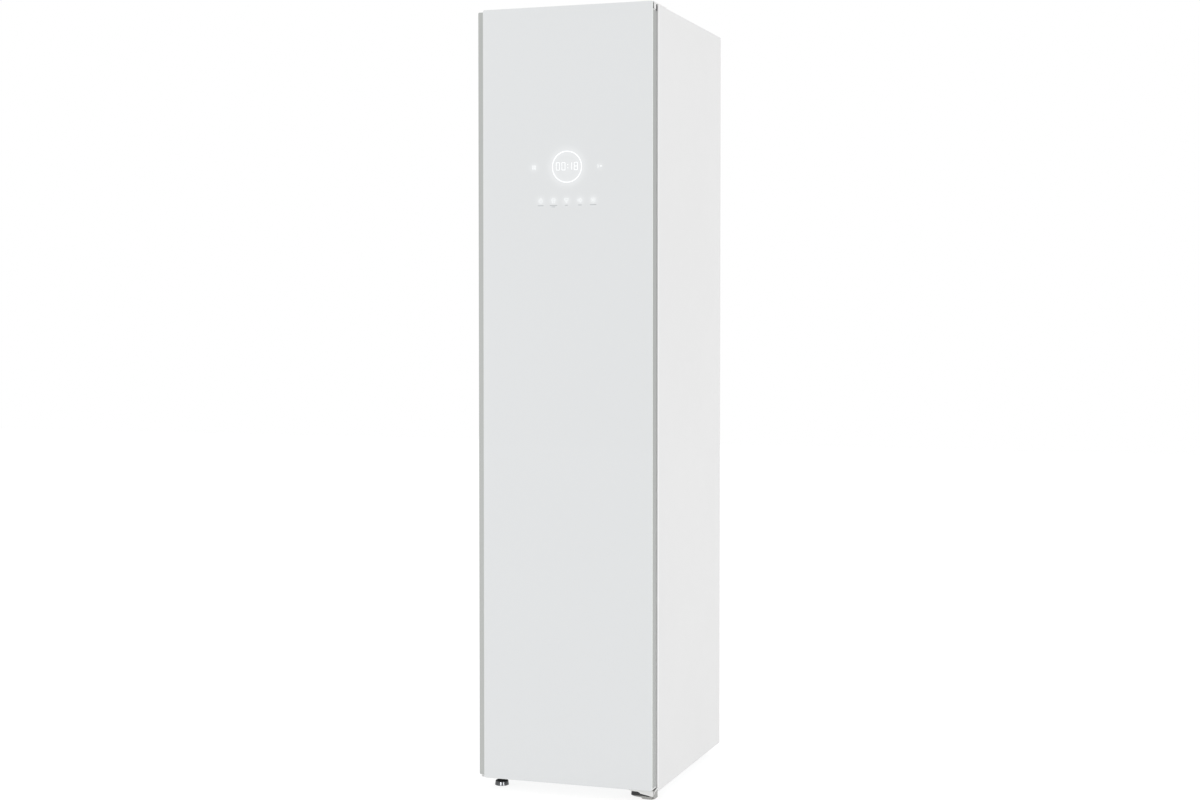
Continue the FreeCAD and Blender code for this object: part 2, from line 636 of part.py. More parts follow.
def right_tank():
    """Pull-out water tank: a thin-walled body with a grip pocket in its front and a filler cap on top."""
    x = (TANK_GAP, TANK_RIGHT)
    y = (TANK_FRONT, TANK_FRONT + TANK_DEPTH)
    z = (TANK_BOTTOM, TANK_TOP)
    body = rounded_box(x, y, z, Z_AXIS, TANK_RADIUS)
    body = rounded(body, X_AXIS, 4, lambda c: True)
    room = box(*[(low + TANK_WALL, high - TANK_WALL) for low, high in (x, y, z)])
    middle = (x[0] + x[1]) / 2
    pocket_x = centred(middle, HANDLE_WIDTH)
    pocket_z = (z[1] - HANDLE_DROP - HANDLE_HEIGHT, z[1] - HANDLE_DROP)
    pocket = rounded_box(pocket_x, (y[0] - 1, y[0] + HANDLE_DEPTH), pocket_z, Y_AXIS, 8)
    pocket_walls = box(
        (pocket_x[0] - TANK_WALL, pocket_x[1] + TANK_WALL),
        (y[0], y[0] + HANDLE_DEPTH + TANK_WALL),
        (pocket_z[0] - TANK_WALL, pocket_z[1] + TANK_WALL),
    )
    filler_y = y[0] + FILLER_SETBACK
    filler = rod(FILLER_R, (middle, filler_y, z[1] - TANK_WALL - 1), Z_AXIS, TANK_WALL + 2)
    plug = rod(FILLER_R, (middle, filler_y, z[1] - TANK_WALL), Z_AXIS, TANK_WALL)
    cap = rod(FILLER_R + 4, (middle, filler_y, z[1]), Z_AXIS, 8)
    return group([body.cut([room.cut(pocket_walls), pocket, filler]), fused([plug, cap])])


# ---------------------------------------------------------------- machinery in the base

MACHINE_FLOOR = BODY_BOTTOM + BASE_SHEET


def compressor():
    """Hermetic rotary compressor: a domed can with a base plate and its suction accumulator."""
    at_x, at_y = 110.0, 170.0
    can = rod(56, (at_x, at_y, MACHINE_FLOOR + 16), Z_AXIS, 150)
    top_edge = [e for e in can.Edges if e.Curve.TypeId == "Part::GeomCircle"]
    can = can.makeFillet(24, top_edge)
    plate = box(centred(at_x, 130), centred(at_y, 110), (MACHINE_FLOOR + 12, MACHINE_FLOOR + 18))
    side = rod(22, (at_x + 76, at_y - 40, MACHINE_FLOOR + 60), Z_AXIS, 100)
    strap = box((at_x + 30, at_x + 70), centred(at_y - 34, 8), (MACHINE_FLOOR + 100, MACHINE_FLOOR + 112))
    feet = [
        rod(9, (at_x + dx, at_y + dy, MACHINE_FLOOR), Z_AXIS, 12)
        for dx in (-54, 54)
        for dy in (-44, 44)
    ]
    return fused([can, plate, side, strap] + feet)


COPPER_R = 4.0
FIN_GAPS, FIN_GAP, FIN_PITCH = 11, 6.0, 9.6


def heat_exchangers():
    """Finned evaporator and condenser under the air return, each one block of fins and end plates."""
    blocks = []
    for x in ((-150, -34), (-24, 92)):
        core = box(x, (-8, 64), (176, 300))
        gaps = []
        for fin in range(FIN_GAPS):
            start = x[0] + 6 + fin * FIN_PITCH
            gaps.append(box((start, start + FIN_GAP), (-9, 65), (182, 294)))
        length = x[1] - x[0] + 8
        tubes = [rod(COPPER_R, (x[0] - 4, y, z), X_AXIS, length) for y in (12, 44) for z in (205, 238, 271)]
        blocks.append(fused([core.cut(gaps)] + tubes))
    return group(blocks)


def blower_housing():
    """Scroll housing whose outlet rises to the back vents."""
    centre = (BLOWER_X, BLOWER_FRONT, BLOWER_Z)
    depth = BLOWER_BACK - BLOWER_FRONT
    scroll = rod(SCROLL_R, centre, Y_AXIS, depth)
    riser_x = (BLOWER_X - SCROLL_R, BLOWER_X - 4)
    riser = box(riser_x, (228, BLOWER_BACK), (BLOWER_Z, 470))
    header = box((riser_x[0], 152), (228, BLOWER_BACK), (340, 470))
    room = rod(SCROLL_R - 3, (BLOWER_X, BLOWER_FRONT + 3, BLOWER_Z), Y_AXIS, depth - 6)
    riser_room = box((riser_x[0] + 3, riser_x[1] - 3), (231, BLOWER_BACK - 3), (BLOWER_Z, 467))
    header_room = box((riser_x[0] + 3, 149), (231, BLOWER_BACK - 3), (343, 467))
    eye = rod(34, (BLOWER_X, BLOWER_FRONT - 1, BLOWER_Z), Y_AXIS, 6)
    shaft = rod(6, (BLOWER_X, BLOWER_BACK - 5, BLOWER_Z), Y_AXIS, 8)
    outlets = [box(x, (226, 232), (352, 448)) for x in (VENT_X, (-VENT_X[1], -VENT_X[0]))]
    trimmed = fused([scroll, riser, header]).cut([room, riser_room, header_room, eye, shaft] + outlets)
    return trimmed


def blower_wheel():
    """Centrifugal fan wheel: back plate, hub and a ring of blades."""
    front, back = BLOWER_FRONT + 6, BLOWER_BACK - 8
    plate = rod(WHEEL_R, (BLOWER_X, back - 3, BLOWER_Z), Y_AXIS, 3)
    hub = rod(WHEEL_HUB_R, (BLOWER_X, back - 24, BLOWER_Z), Y_AXIS, 24)
    shaft = rod(4, (BLOWER_X, back - 24, BLOWER_Z), Y_AXIS, 36)
    rim = pipe(WHEEL_R, WHEEL_R - 4, (BLOWER_X, front, BLOWER_Z), Y_AXIS, 3)
    blade = box((BLOWER_X + WHEEL_R - 14, BLOWER_X + WHEEL_R - 1), (front, back - 2), centred(BLOWER_Z, 2))
    centre = FreeCAD.Vector(BLOWER_X, 0, BLOWER_Z)
    blades = []
    for i in range(WHEEL_BLADES):
        copy = blade.copy()
        copy.rotate(centre, Y_AXIS, 360.0 * i / WHEEL_BLADES)
        blades.append(copy)
    return fused([plate, hub, shaft, rim] + blades)


def blower_motor():
    """Fan motor bolted to the back of the scroll."""
    can = rod(24, (BLOWER_X, BLOWER_BACK, BLOWER_Z), Y_AXIS, 22)
    bore = rod(6, (BLOWER_X, BLOWER_BACK - 1, BLOWER_Z), Y_AXIS, 9)
    return can.cut(bore)


GENERATOR_X, GENERATOR_Y = (-205.0, -75.0), (-8.0, 72.0)
GENERATOR_TOP = 150.0
SPIGOT_X, SPIGOT_Y = -170.0, 60.0


def steam_generator():
    """Cast boiler with a lid flange, its element terminals and an outlet spigot."""
    body = rounded_box(GENERATOR_X, GENERATOR_Y, (MACHINE_FLOOR + 8, GENERATOR_TOP - 8), Z_AXIS, 14)
    lid = rounded_box(
        (GENERATOR_X[0] - 5, GENERATOR_X[1] + 5),
        (GENERATOR_Y[0] - 5, GENERATOR_Y[1] + 5),
        (GENERATOR_TOP - 14, GENERATOR_TOP - 6),
        Z_AXIS,
        14,
    )
    feet = [
        box(centred(x, 16), centred(y, 16), (MACHINE_FLOOR, MACHINE_FLOOR + 9))
        for x in (-185, -95)
        for y in (12, 52)
    ]
    spigot = rod(PIPE_R, (SPIGOT_X, SPIGOT_Y, GENERATOR_TOP - 7), Z_AXIS, 10)
    terminals = [rod(4, (-100, y, GENERATOR_TOP - 7), Z_AXIS, 12) for y in (20, 40)]
    return fused([body, lid, spigot] + feet + terminals)


def steam_hose():
    """Silicone hose from the boiler's spigot up to the chamber's nozzle."""
    route = (
        (SPIGOT_X, SPIGOT_Y, GENERATOR_TOP + 3),
        (SPIGOT_X, SPIGOT_Y, 182),
        (-164, 92, 212),
        (-126, 128, 232),
        (-66, NOZZLE_Y, 250),
        (NOZZLE_X, NOZZLE_Y, 264),
        (NOZZLE_X, NOZZLE_Y, CHAMBER_FLOOR - 22),
    )
    return bent_tube(route, PIPE_R)


def drain_pump():
    """Small drain pump with its volute and two spigots."""
    volute = rod(26, (-150, 130, MACHINE_FLOOR), Z_AXIS, 24)
    can = rod(20, (-150, 130, MACHINE_FLOOR + 24), Z_AXIS, 46)
    inlet = rod(6, (-150, 130, MACHINE_FLOOR + 12), X_AXIS, 46)
    outlet = rod(6, (-150, 150, MACHINE_FLOOR + 12), Y_AXIS, 30)
    return fused([volute, can, inlet, outlet])


def control_box():
    """Moulded case of the main control board, with a lid line and cable ports."""
    case = rounded_box((60, 200), (-14, 46), (MACHINE_FLOOR, 160), Y_AXIS, 6)
    lid = rounded_box((56, 204), (46, 52), (MACHINE_FLOOR, 164), Y_AXIS, 6)
    ports = [rod(5, (x, 10, 150), Z_AXIS, 20) for x in (90, 120, 150)]
    return fused([case, lid]).cut(ports)


def refrigerant_pipes():
    """Copper suction and discharge lines between the compressor and the two exchangers."""
    discharge = (
        (110, 170, MACHINE_FLOOR + 166),
        (110, 170, 240),
        (128, 150, 262),
        (140, 96, 268),
        (132, 44, 271),
        (96, 44, 271),
    )
    suction = (
        (186, 130, MACHINE_FLOOR + 160),
        (186, 130, 216),
        (180, 100, 236),
        (150, 24, 240),
        (132, 12, 238),
        (96, 12, 238),
    )
    return group([bent_tube(discharge, COPPER_R), bent_tube(suction, COPPER_R)])


# ---------------------------------------------------------------- feet and hinges


def levelling_foot(x, y):
    """Disc foot with a collar and its threaded stud."""
    disc = rod(FOOT_DISC_R, (x, y, 0), Z_AXIS, FOOT_DISC_HEIGHT)
    disc = disc.makeFillet(1.5, [e for e in disc.Edges if e.Curve.TypeId == "Part::GeomCircle"])
    collar = rod(FOOT_COLLAR_R, (x, y, FOOT_DISC_HEIGHT - 0.5), Z_AXIS, FOOT_COLLAR_TOP - FOOT_DISC_HEIGHT)
    stud = rod(FOOT_STUD_R, (x, y, FOOT_DISC_HEIGHT), Z_AXIS, FOOT_STUD_TOP - FOOT_DISC_HEIGHT)
    return fused([disc, collar, stud])


HINGE_PLATE = 3.0
NOSE_FRONT = HINGE_Y - 17.0
NOSE_X = (189.0, RIGHT - 0.5)
NECK_X = (176.0, 206.0)
LOWER_PLATE_Z = (15.0, 19.0)
CAP_BOTTOM = GLASS_BOTTOM + 1.5
PIN_REACH = 22.0
BOLT_R, BOLT_HEAD = 6.0, 4.0


def lower_hinge():
    """Zinc-plated bracket under the base: rounded nose, upturned side ear, riser pad, pin and two bolts."""
    low, high = LOWER_PLATE_Z
    rear, behind = -176.0, BODY_FRONT - 3
    nose = rounded(
        box(NOSE_X, (NOSE_FRONT, behind), LOWER_PLATE_Z), Z_AXIS, 12, lambda c: c.y < NOSE_FRONT + 1
    )
    neck = box(NECK_X, (behind, rear), LOWER_PLATE_Z)
    web = prism(((NECK_X[0], behind), (NOSE_X[0], behind - 12), (NOSE_X[0] + 6, behind)), low, high - low)
    ear = box((NOSE_X[1] - HINGE_PLATE, NOSE_X[1]), (NOSE_FRONT, behind), (low, GLASS_BOTTOM - 0.7))
    ear = rounded(ear, X_AXIS, 9, lambda c: c.y < NOSE_FRONT + 1 and c.z < high)
    pad = box(NECK_X, (FRAME_BACK, rear), (high, BODY_BOTTOM))
    pin = rod(HINGE_PIN_R, (HINGE_X, HINGE_Y, low), Z_AXIS, CAP_BOTTOM + PIN_REACH - low)
    shoulder = rod(HINGE_PIN_R + 2, (HINGE_X, HINGE_Y, high), Z_AXIS, CAP_BOTTOM - 0.2 - high)
    middle = (NECK_X[0] + NECK_X[1]) / 2
    bolt_ys = (rear - 22, rear - 52)
    bolts = [rod(BOLT_R, (middle, y, low - BOLT_HEAD), Z_AXIS, BOLT_HEAD + 1) for y in bolt_ys]
    return fused([nose, neck, web, ear, pad, pin, shoulder] + bolts)


HOOD_X = (HINGE_X - 33.0, HINGE_X + 9.0)
HOOD_FRONT = HINGE_Y - 18.0
KNUCKLE_TOP_R = 7.5
KNUCKLE_DROP = 12.0
TOP_PIN_LENGTH = 38.0


def upper_hinge():
    """Cast bracket on the body's top: a plate that reaches over the door's corner, a knuckle and the pin."""
    plate_z = (BODY_TOP, HEIGHT)
    hood = box(HOOD_X, (HOOD_FRONT, BODY_FRONT - 0.3), plate_z)
    plate = box((150, HOOD_X[1]), (BODY_FRONT - 0.3, -180), plate_z)
    plate = rounded(plate, Z_AXIS, 8, lambda c: c.y > -190)
    knuckle = rod(KNUCKLE_TOP_R, (HINGE_X, HINGE_Y, BODY_TOP - KNUCKLE_DROP), Z_AXIS, KNUCKLE_DROP + 1)
    pin = rod(HINGE_PIN_R, (HINGE_X, HINGE_Y, BODY_TOP - TOP_PIN_LENGTH), Z_AXIS, TOP_PIN_LENGTH)
    return fused([hood, plate, knuckle, pin])


# ---------------------------------------------------------------- door

DOOR_Z = (GLASS_BOTTOM, HEIGHT)
GRIP_INNER = GLASS_LEFT + GRIP_UNDERCUT
CORE_LEFT = GRIP_INNER + PROFILE_WALL
CORE_RIGHT = DOOR_RIGHT - PROFILE_WALL
CAP_TOP = HEIGHT - 2.0
CORE_BOTTOM = CAP_BOTTOM + BOTTOM_CAP_HEIGHT
CORE_TOP = CAP_TOP - TOP_CAP_HEIGHT
LEDGE_TOP = CAP_TOP - TOP_CAP_LEDGE
CAP_EDGE = 3.0
WALL_REAR = BODY_FRONT - 2.5
GRIP_TAB, HINGE_TAB, REAR_TAB = 14.0, 22.0, 14.0
LIP_CORNER = 3.0
HINGE_NOTCH_X = 172.0
HINGE_BLOCK = (HINGE_X - 26, CORE_RIGHT)
HINGE_BLOCK_HEIGHT = 30.0


def door_glass():
    """Full-height toughened glass front with rounded corners and ground edges."""
    pane = rounded_box((GLASS_LEFT, GLASS_RIGHT), (FRONT, GLASS_BACK), DOOR_Z, Y_AXIS, GLASS_CORNER)
    front_edges = [e for e in pane.Edges if abs(e.CenterOfMass.y - FRONT) < 1e-6]
    return pane.makeChamfer(GLASS_BEVEL, front_edges)


def grip_profile():
    """Anodised extrusion on the opening side: the glass flange, the finger channel and the outer lip."""
    flange_y = (GLASS_BACK, GLASS_BACK + PROFILE_WALL)
    flange = box((GLASS_LEFT + 1, CORE_LEFT), flange_y, DOOR_Z)
    tab = box((CORE_LEFT, CORE_LEFT + GRIP_TAB), flange_y, (CORE_BOTTOM, CORE_TOP))
    web = box((GRIP_INNER, CORE_LEFT), (GLASS_BACK, DOOR_REAR), DOOR_Z)
    lip = box((DOOR_LEFT, CORE_LEFT), (FRONT + GRIP_SETBACK, DOOR_REAR), DOOR_Z)
    lip = rounded(lip, Y_AXIS, LIP_CORNER, lambda c: c.x < DOOR_LEFT + 0.1)
    return fused([flange, tab, web, lip])


def hinge_profile():
    """Anodised channel on the hinge side, between the two end caps."""
    z = (CAP_BOTTOM + CAP_EDGE, LEDGE_TOP)
    wall = box((CORE_RIGHT, DOOR_RIGHT), (GLASS_BACK, WALL_REAR), z)
    at_corner = lambda c: c.x > DOOR_RIGHT - 0.1 and c.y > WALL_REAR - 0.1
    wall = rounded(wall, Z_AXIS, 1, at_corner)
    front = box((CORE_RIGHT - HINGE_TAB, CORE_RIGHT), (GLASS_BACK, GLASS_BACK + PROFILE_WALL), z)
    rear = box((CORE_RIGHT - REAR_TAB, CORE_RIGHT), (DOOR_REAR - PROFILE_WALL, DOOR_REAR), z)
    return fused([wall, front, rear])


def door_top_cap():
    """Moulded upper end cap, stepped down at the hinge, with the pin's bearing block."""
    y = (GLASS_BACK, DOOR_REAR)
    main = box((CORE_LEFT, HINGE_NOTCH_X), y, (LEDGE_TOP - 1, CAP_TOP))
    main = rounded(main, X_AXIS, 3, lambda c: c.z > CAP_TOP - 0.1 and c.y > DOOR_REAR - 0.1)
    ledge = box((HINGE_NOTCH_X - 1, DOOR_RIGHT), y, (LEDGE_TOP, LEDGE_TOP + 1.5))
    skirt_x, inner_y = (CORE_LEFT, CORE_RIGHT - HINGE_TAB - 1), (GLASS_BACK, DOOR_REAR - LINER)
    skirt = box(skirt_x, inner_y, (CORE_TOP, LEDGE_TOP))
    block_y, block_z = (GLASS_BACK + PROFILE_WALL, inner_y[1]), (LEDGE_TOP - HINGE_BLOCK_HEIGHT, LEDGE_TOP)
    block = box(HINGE_BLOCK, block_y, block_z)
    bore = rod(HINGE_PIN_R + RUNNING, (HINGE_X, HINGE_Y, block_z[0] - 1), Z_AXIS, 40)
    return fused([main, ledge, skirt, block]).cut(bore)


def door_bottom_cap():
    """Moulded lower end cap: a thin edge under the profiles, a body between them and the bearing block."""
    edge = box((CORE_LEFT, DOOR_RIGHT), (GLASS_BACK, DOOR_REAR), (CAP_BOTTOM, CAP_BOTTOM + CAP_EDGE))
    edge = rounded(edge, X_AXIS, 2, lambda c: c.z < CAP_BOTTOM + 0.1 and c.y > DOOR_REAR - 0.1)
    inner_y = (GLASS_BACK + PROFILE_WALL, DOOR_REAR - PROFILE_WALL)
    body = box((CORE_LEFT, CORE_RIGHT), inner_y, (CAP_BOTTOM + 1, CORE_BOTTOM))
    block = box(HINGE_BLOCK, (inner_y[0], DOOR_REAR - LINER), (CORE_BOTTOM, CORE_BOTTOM + 14))
    bore = rod(HINGE_PIN_R + RUNNING, (HINGE_X, HINGE_Y, CAP_BOTTOM - 1), Z_AXIS, 40)
    return fused([edge, body, block]).cut(bore)


DISPLAY_X, DISPLAY_Z = 12.0, 1445.0
DISPLAY_WIDTH, DISPLAY_HEIGHT, DISPLAY_DEPTH = 204.0, 156.0, 12.0


def display_layer(margin, depth):
    """A plate over the display's field, less a margin, between two depths behind the glass."""
    return box(
        centred(DISPLAY_X, DISPLAY_WIDTH - 2 * margin),
        (GLASS_BACK + depth[0], GLASS_BACK + depth[1]),
        centred(DISPLAY_Z, DISPLAY_HEIGHT - 2 * margin),
    )


def door_core():
    """Foam core of the door, with a pocket for the display module."""
    core = box((CORE_LEFT, CORE_RIGHT), (GLASS_BACK, DOOR_REAR - LINER), (CORE_BOTTOM, CORE_TOP))
    front_flanges = [
        box(x, (GLASS_BACK - 1, GLASS_BACK + PROFILE_WALL), DOOR_Z)
        for x in ((CORE_LEFT - 1, CORE_LEFT + GRIP_TAB), (CORE_RIGHT - HINGE_TAB, CORE_RIGHT + 1))
    ]
    display = display_layer(0, (-1, DISPLAY_DEPTH))
    block_x, block_y = (HINGE_BLOCK[0] - 1, CORE_RIGHT + 1), (GLASS_BACK - 1, DOOR_REAR)
    block_low = box(block_x, block_y, (0, CORE_BOTTOM + 15))
    block_high = box(block_x, block_y, (LEDGE_TOP - HINGE_BLOCK_HEIGHT - 1, HEIGHT))
    return core.cut(front_flanges + [display, block_low, block_high])


def door_liner():
    """Inner door skin with a raised frame round the trouser press."""
    skin_x, skin_y = (CORE_LEFT, CORE_RIGHT - REAR_TAB), (DOOR_REAR - LINER, DOOR_REAR)
    skin = box(skin_x, skin_y, (CORE_BOTTOM, LEDGE_TOP - 1))
    frame = ring((-168, 168), (DOOR_REAR, DOOR_REAR + 5), (342, 1748), 10, 14)
    return fused([skin, frame])


def door_gasket():
    """Magnetic seal round the garment chamber."""
    edge = CHAMBER_HALF + 21
    return ring((-edge, edge - 1), (DOOR_REAR, BODY_FRONT - 0.3), (304, CHAMBER_TOP + 22), 12, 14)


def display_module():
    """Touch board on the glass, with the light guide and lamp board behind it."""
    touch = display_layer(4, (0, 1.6))
    guide = display_layer(8, (1.6, 7))
    board = display_layer(6, (7, 9))
    return group([touch, guide, board])


PRESS_BACK_Y = (DOOR_REAR, DOOR_REAR + PRESS_BOARD)
PRESS_PANEL_Y = (PRESS_BACK_Y[1] + PRESS_GAP, PRESS_BACK_Y[1] + PRESS_GAP + PRESS_PANEL)
KNUCKLE_R = 6.0
KNUCKLE = 18.0
EAR_X = (PRESS_AXIS_X - KNUCKLE_R, PRESS_AXIS_X + KNUCKLE_R)


def press_board():
    """Fixed board of the trouser press, with hinge ears and two trouser pegs at the top."""
    board = rounded_box(
        (PRESS_LEFT, PRESS_RIGHT), PRESS_BACK_Y, (PRESS_BOTTOM, PRESS_TOP + 60), Y_AXIS, 12
    )
    ears = []
    for z in PRESS_HINGES:
        for low in (z - KNUCKLE * 1.5 - 0.3, z + KNUCKLE * 0.5 + 0.3):
            level = (low, low + KNUCKLE)
            foot = box((PRESS_RIGHT - 6, EAR_X[1]), (PRESS_BACK_Y[0], PRESS_BACK_Y[1] - 2), level)
            post = box(EAR_X, (PRESS_BACK_Y[1] - 5, PRESS_AXIS_Y), level)
            ears += [foot, post, rod(KNUCKLE_R, (PRESS_AXIS_X, PRESS_AXIS_Y, low), Z_AXIS, KNUCKLE)]
    pins = [rod(PRESS_PIN_R, (PRESS_AXIS_X, PRESS_AXIS_Y, 0), Z_AXIS, HEIGHT)]
    pegs = []
    for x in (-60, 60):
        pegs.append(rod(5, (x, PRESS_BACK_Y[1] - 1, PRESS_TOP + 36), Y_AXIS, 19))
        pegs.append(rod(8, (x, PRESS_BACK_Y[1] + 16, PRESS_TOP + 36), Y_AXIS, 4))
    return fused([board] + ears + pegs).cut(pins)


def press_pins():
    """Hinge pins of the trouser press."""
    length = 3 * KNUCKLE + 0.6
    return group(
        [rod(PRESS_PIN_R, (PRESS_AXIS_X, PRESS_AXIS_Y, z - length / 2), Z_AXIS, length) for z in PRESS_HINGES]
    )


def press_panel():
    """Swinging pressure panel with centre knuckles, a stiffening frame and a finger grip."""
    panel = rounded_box((PRESS_LEFT, PRESS_RIGHT), PRESS_PANEL_Y, (PRESS_BOTTOM, PRESS_TOP), Y_AXIS, 12)
    recess = rounded_box(
        (PRESS_LEFT + 22, PRESS_RIGHT - 22),
        (PRESS_PANEL_Y[1] - 4, PRESS_PANEL_Y[1] + 1),
        (PRESS_BOTTOM + 22, PRESS_TOP - 22),
        Y_AXIS,
        8,
    )
    grip_y = (PRESS_PANEL_Y[0] - 1, PRESS_PANEL_Y[0] + 6)
    grip = rounded_box((PRESS_LEFT - 1, PRESS_LEFT + 12), grip_y, (960, 1080), Y_AXIS, 3)
    panel = panel.cut([recess, grip])
    leaf_x, leaf_y = (PRESS_RIGHT - 4, PRESS_AXIS_X), (PRESS_AXIS_Y - 1, PRESS_AXIS_Y + 5)
    knuckles = []
    for z in PRESS_HINGES:
        knuckles.append(box(leaf_x, leaf_y, centred(z, KNUCKLE)))
        knuckles.append(rod(KNUCKLE_R, (PRESS_AXIS_X, PRESS_AXIS_Y, z - KNUCKLE / 2), Z_AXIS, KNUCKLE))
    bore = rod(PRESS_PIN_R + RUNNING, (PRESS_AXIS_X, PRESS_AXIS_Y, 0), Z_AXIS, HEIGHT)
    return fused([panel] + knuckles).cut(bore)


# ---------------------------------------------------------------- the whole cabinet


def parts():
    right_side = side_panel_right()
    right_wall = chamber_right_wall()
    tank = right_tank()
    made = {
        "side_panel_right": right_side,
        "side_panel_left": mirrored(right_side),
        "top_cover": top_cover(),
        "rear_panel": rear_panel(),
        "service_cover": service_cover(),
        "power_inlet": power_inlet(),
        "casing_screws": casing_screws(),
        "base_pan": base_pan(),
        "front_frame": front_frame(),
        "insulation": insulation(),
        "chamber_right_wall": right_wall,
        "chamber_left_wall": mirrored(right_wall),
        "chamber_back_wall": chamber_back_wall(),
        "chamber_ceiling": chamber_ceiling(),
        "chamber_floor": chamber_floor(),
        "floor_grille": floor_grille(),
        "back_vents": back_vents(),
        "steam_nozzle": steam_nozzle(),
        "chamber_lamp": chamber_lamp(),
        "lint_filter": lint_filter(),
        "scent_box": scent_box(),
        "shelf": shelf(),
        "drive_plate": drive_plate(),
        "guide_rods": guide_rods(),
        "shaker_motor": shaker_motor(),
        "crank": crank(),
        "hanger_carriage": hanger_carriage(),
        "hanger_bar": hanger_bar(),
        "drive_cover": drive_cover(),
        "tank_bay": tank_bay(),
        "drain_tank": tank,
        "fresh_tank": mirrored(tank),
        "compressor": compressor(),
        "heat_exchangers": heat_exchangers(),
        "blower_housing": blower_housing(),
        "blower_wheel": blower_wheel(),
        "blower_motor": blower_motor(),
        "steam_generator": steam_generator(),
        "steam_hose": steam_hose(),
        "drain_pump": drain_pump(),
        "control_box": control_box(),
        "refrigerant_pipes": refrigerant_pipes(),
        "lower_hinge": lower_hinge(),
        "upper_hinge": upper_hinge(),
        "door_glass": door_glass(),
        "grip_profile": grip_profile(),
        "hinge_profile": hinge_profile(),
        "door_top_cap": door_top_cap(),
        "door_bottom_cap": door_bottom_cap(),
        "door_core": door_core(),
        "door_liner": door_liner(),
        "door_gasket": door_gasket(),
        "display_module": display_module(),
        "press_board": press_board(),
        "press_pins": press_pins(),
        "press_panel": press_panel(),
    }
    for name, (x, y) in FOOT_PLACES.items():
        made[name] = levelling_foot(x, y)
    return made


os.makedirs("parts", exist_ok=True)
for name, shape in parts().items():
    shape.exportStep(f"parts/{name}.step")
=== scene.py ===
"""The clothes care steam cabinet's surfaces, trims and small parts, built round its construction frame."""

import json
import math

import bmesh
import bpy
from mathutils import Matrix, Vector


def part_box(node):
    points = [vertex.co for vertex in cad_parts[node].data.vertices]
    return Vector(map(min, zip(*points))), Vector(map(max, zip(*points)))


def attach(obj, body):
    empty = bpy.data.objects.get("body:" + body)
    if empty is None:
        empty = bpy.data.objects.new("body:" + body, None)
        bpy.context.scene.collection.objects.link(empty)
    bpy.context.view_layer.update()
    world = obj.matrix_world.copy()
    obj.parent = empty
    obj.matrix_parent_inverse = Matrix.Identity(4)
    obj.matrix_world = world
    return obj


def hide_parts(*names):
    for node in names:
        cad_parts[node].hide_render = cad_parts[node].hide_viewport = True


bl_info = {
    "name": "Steam Cabinet",
    "version": (1, 0, 0),
    "blender": (4, 5, 0),
    "location": "3D View > Sidebar > Cabinet",
    "description": "Finishes and details a clothes care steam cabinet",
    "category": "Object",
}

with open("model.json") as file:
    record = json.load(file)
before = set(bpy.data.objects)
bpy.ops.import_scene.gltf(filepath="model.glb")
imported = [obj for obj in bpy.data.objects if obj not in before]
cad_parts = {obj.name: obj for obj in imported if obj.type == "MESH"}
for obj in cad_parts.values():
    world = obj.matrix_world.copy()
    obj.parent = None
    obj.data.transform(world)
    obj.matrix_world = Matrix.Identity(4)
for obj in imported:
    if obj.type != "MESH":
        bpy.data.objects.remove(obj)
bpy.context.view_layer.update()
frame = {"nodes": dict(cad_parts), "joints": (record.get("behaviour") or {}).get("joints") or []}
NODES = frame["nodes"]
MM = 0.001

# ---------------------------------------------------------------- places read from the frame


def span(node, axis):
    """(low, high) of a node along an axis, 0 to 2."""
    low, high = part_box(node)
    return low[axis], high[axis]


def spans(node):
    """(low, high) of a node along each axis."""
    return [span(node, axis) for axis in range(3)]


GLASS_X, GLASS_Y, GLASS_Z = spans("door_glass")
SIDE_Y, SIDE_Z = spans("side_panel_right")[1:]
BODY_FRONT = SIDE_Y[0]
HINGE = Vector(next(j["pos_m"] for j in frame["joints"] if j["name"] == "door_hinge"))


def linear(code):
    """An sRGB hex colour as linear red, green and blue."""
    values = [int(code[i : i + 2], 16) / 255 for i in (1, 3, 5)]
    return tuple(v / 12.92 if v <= 0.04045 else ((v + 0.055) / 1.055) ** 2.4 for v in values)


# ---------------------------------------------------------------- settings


def colour_setting(name, description, code):
    """A colour in the panel, given as an sRGB hex code."""
    return bpy.props.FloatVectorProperty(
        name=name, description=description, subtype="COLOR", size=3, min=0, max=1, default=linear(code)
    )


def length_setting(name, description, millimetres):
    """A length in the panel, given in millimetres."""
    return bpy.props.FloatProperty(
        name=name, description=description, subtype="DISTANCE", unit="LENGTH", min=0, default=millimetres * MM
    )


class CabinetFinish(bpy.types.PropertyGroup):
    """Colours of the cabinet's finishes."""

    glass: colour_setting("Glass", "Enamel behind the door's glass", "#EAECED")
    enamel: colour_setting("Enamel", "Powder coat of the casing", "#E8E8E8")
    anodised: colour_setting("Anodised", "Door's aluminium hinge profile", "#AFB1AF")
    # Lighter than the hinge profile's aluminium though it is the same metal: the difference is painted light
    # on the grip profile
    grip: colour_setting("Grip", "Door's aluminium grip profile", "#B6B8B6")
    moulding: colour_setting("Moulding", "Door's end caps", "#EDEDEC")
    liner: colour_setting("Liner", "Chamber walls and the door's inner skin", "#DDDEDD")
    trim: colour_setting("Trim", "Grilles, press panel and covers", "#A9ACAE")
    light: colour_setting("Display light", "Lit signs on the door", "#FCFEFF")


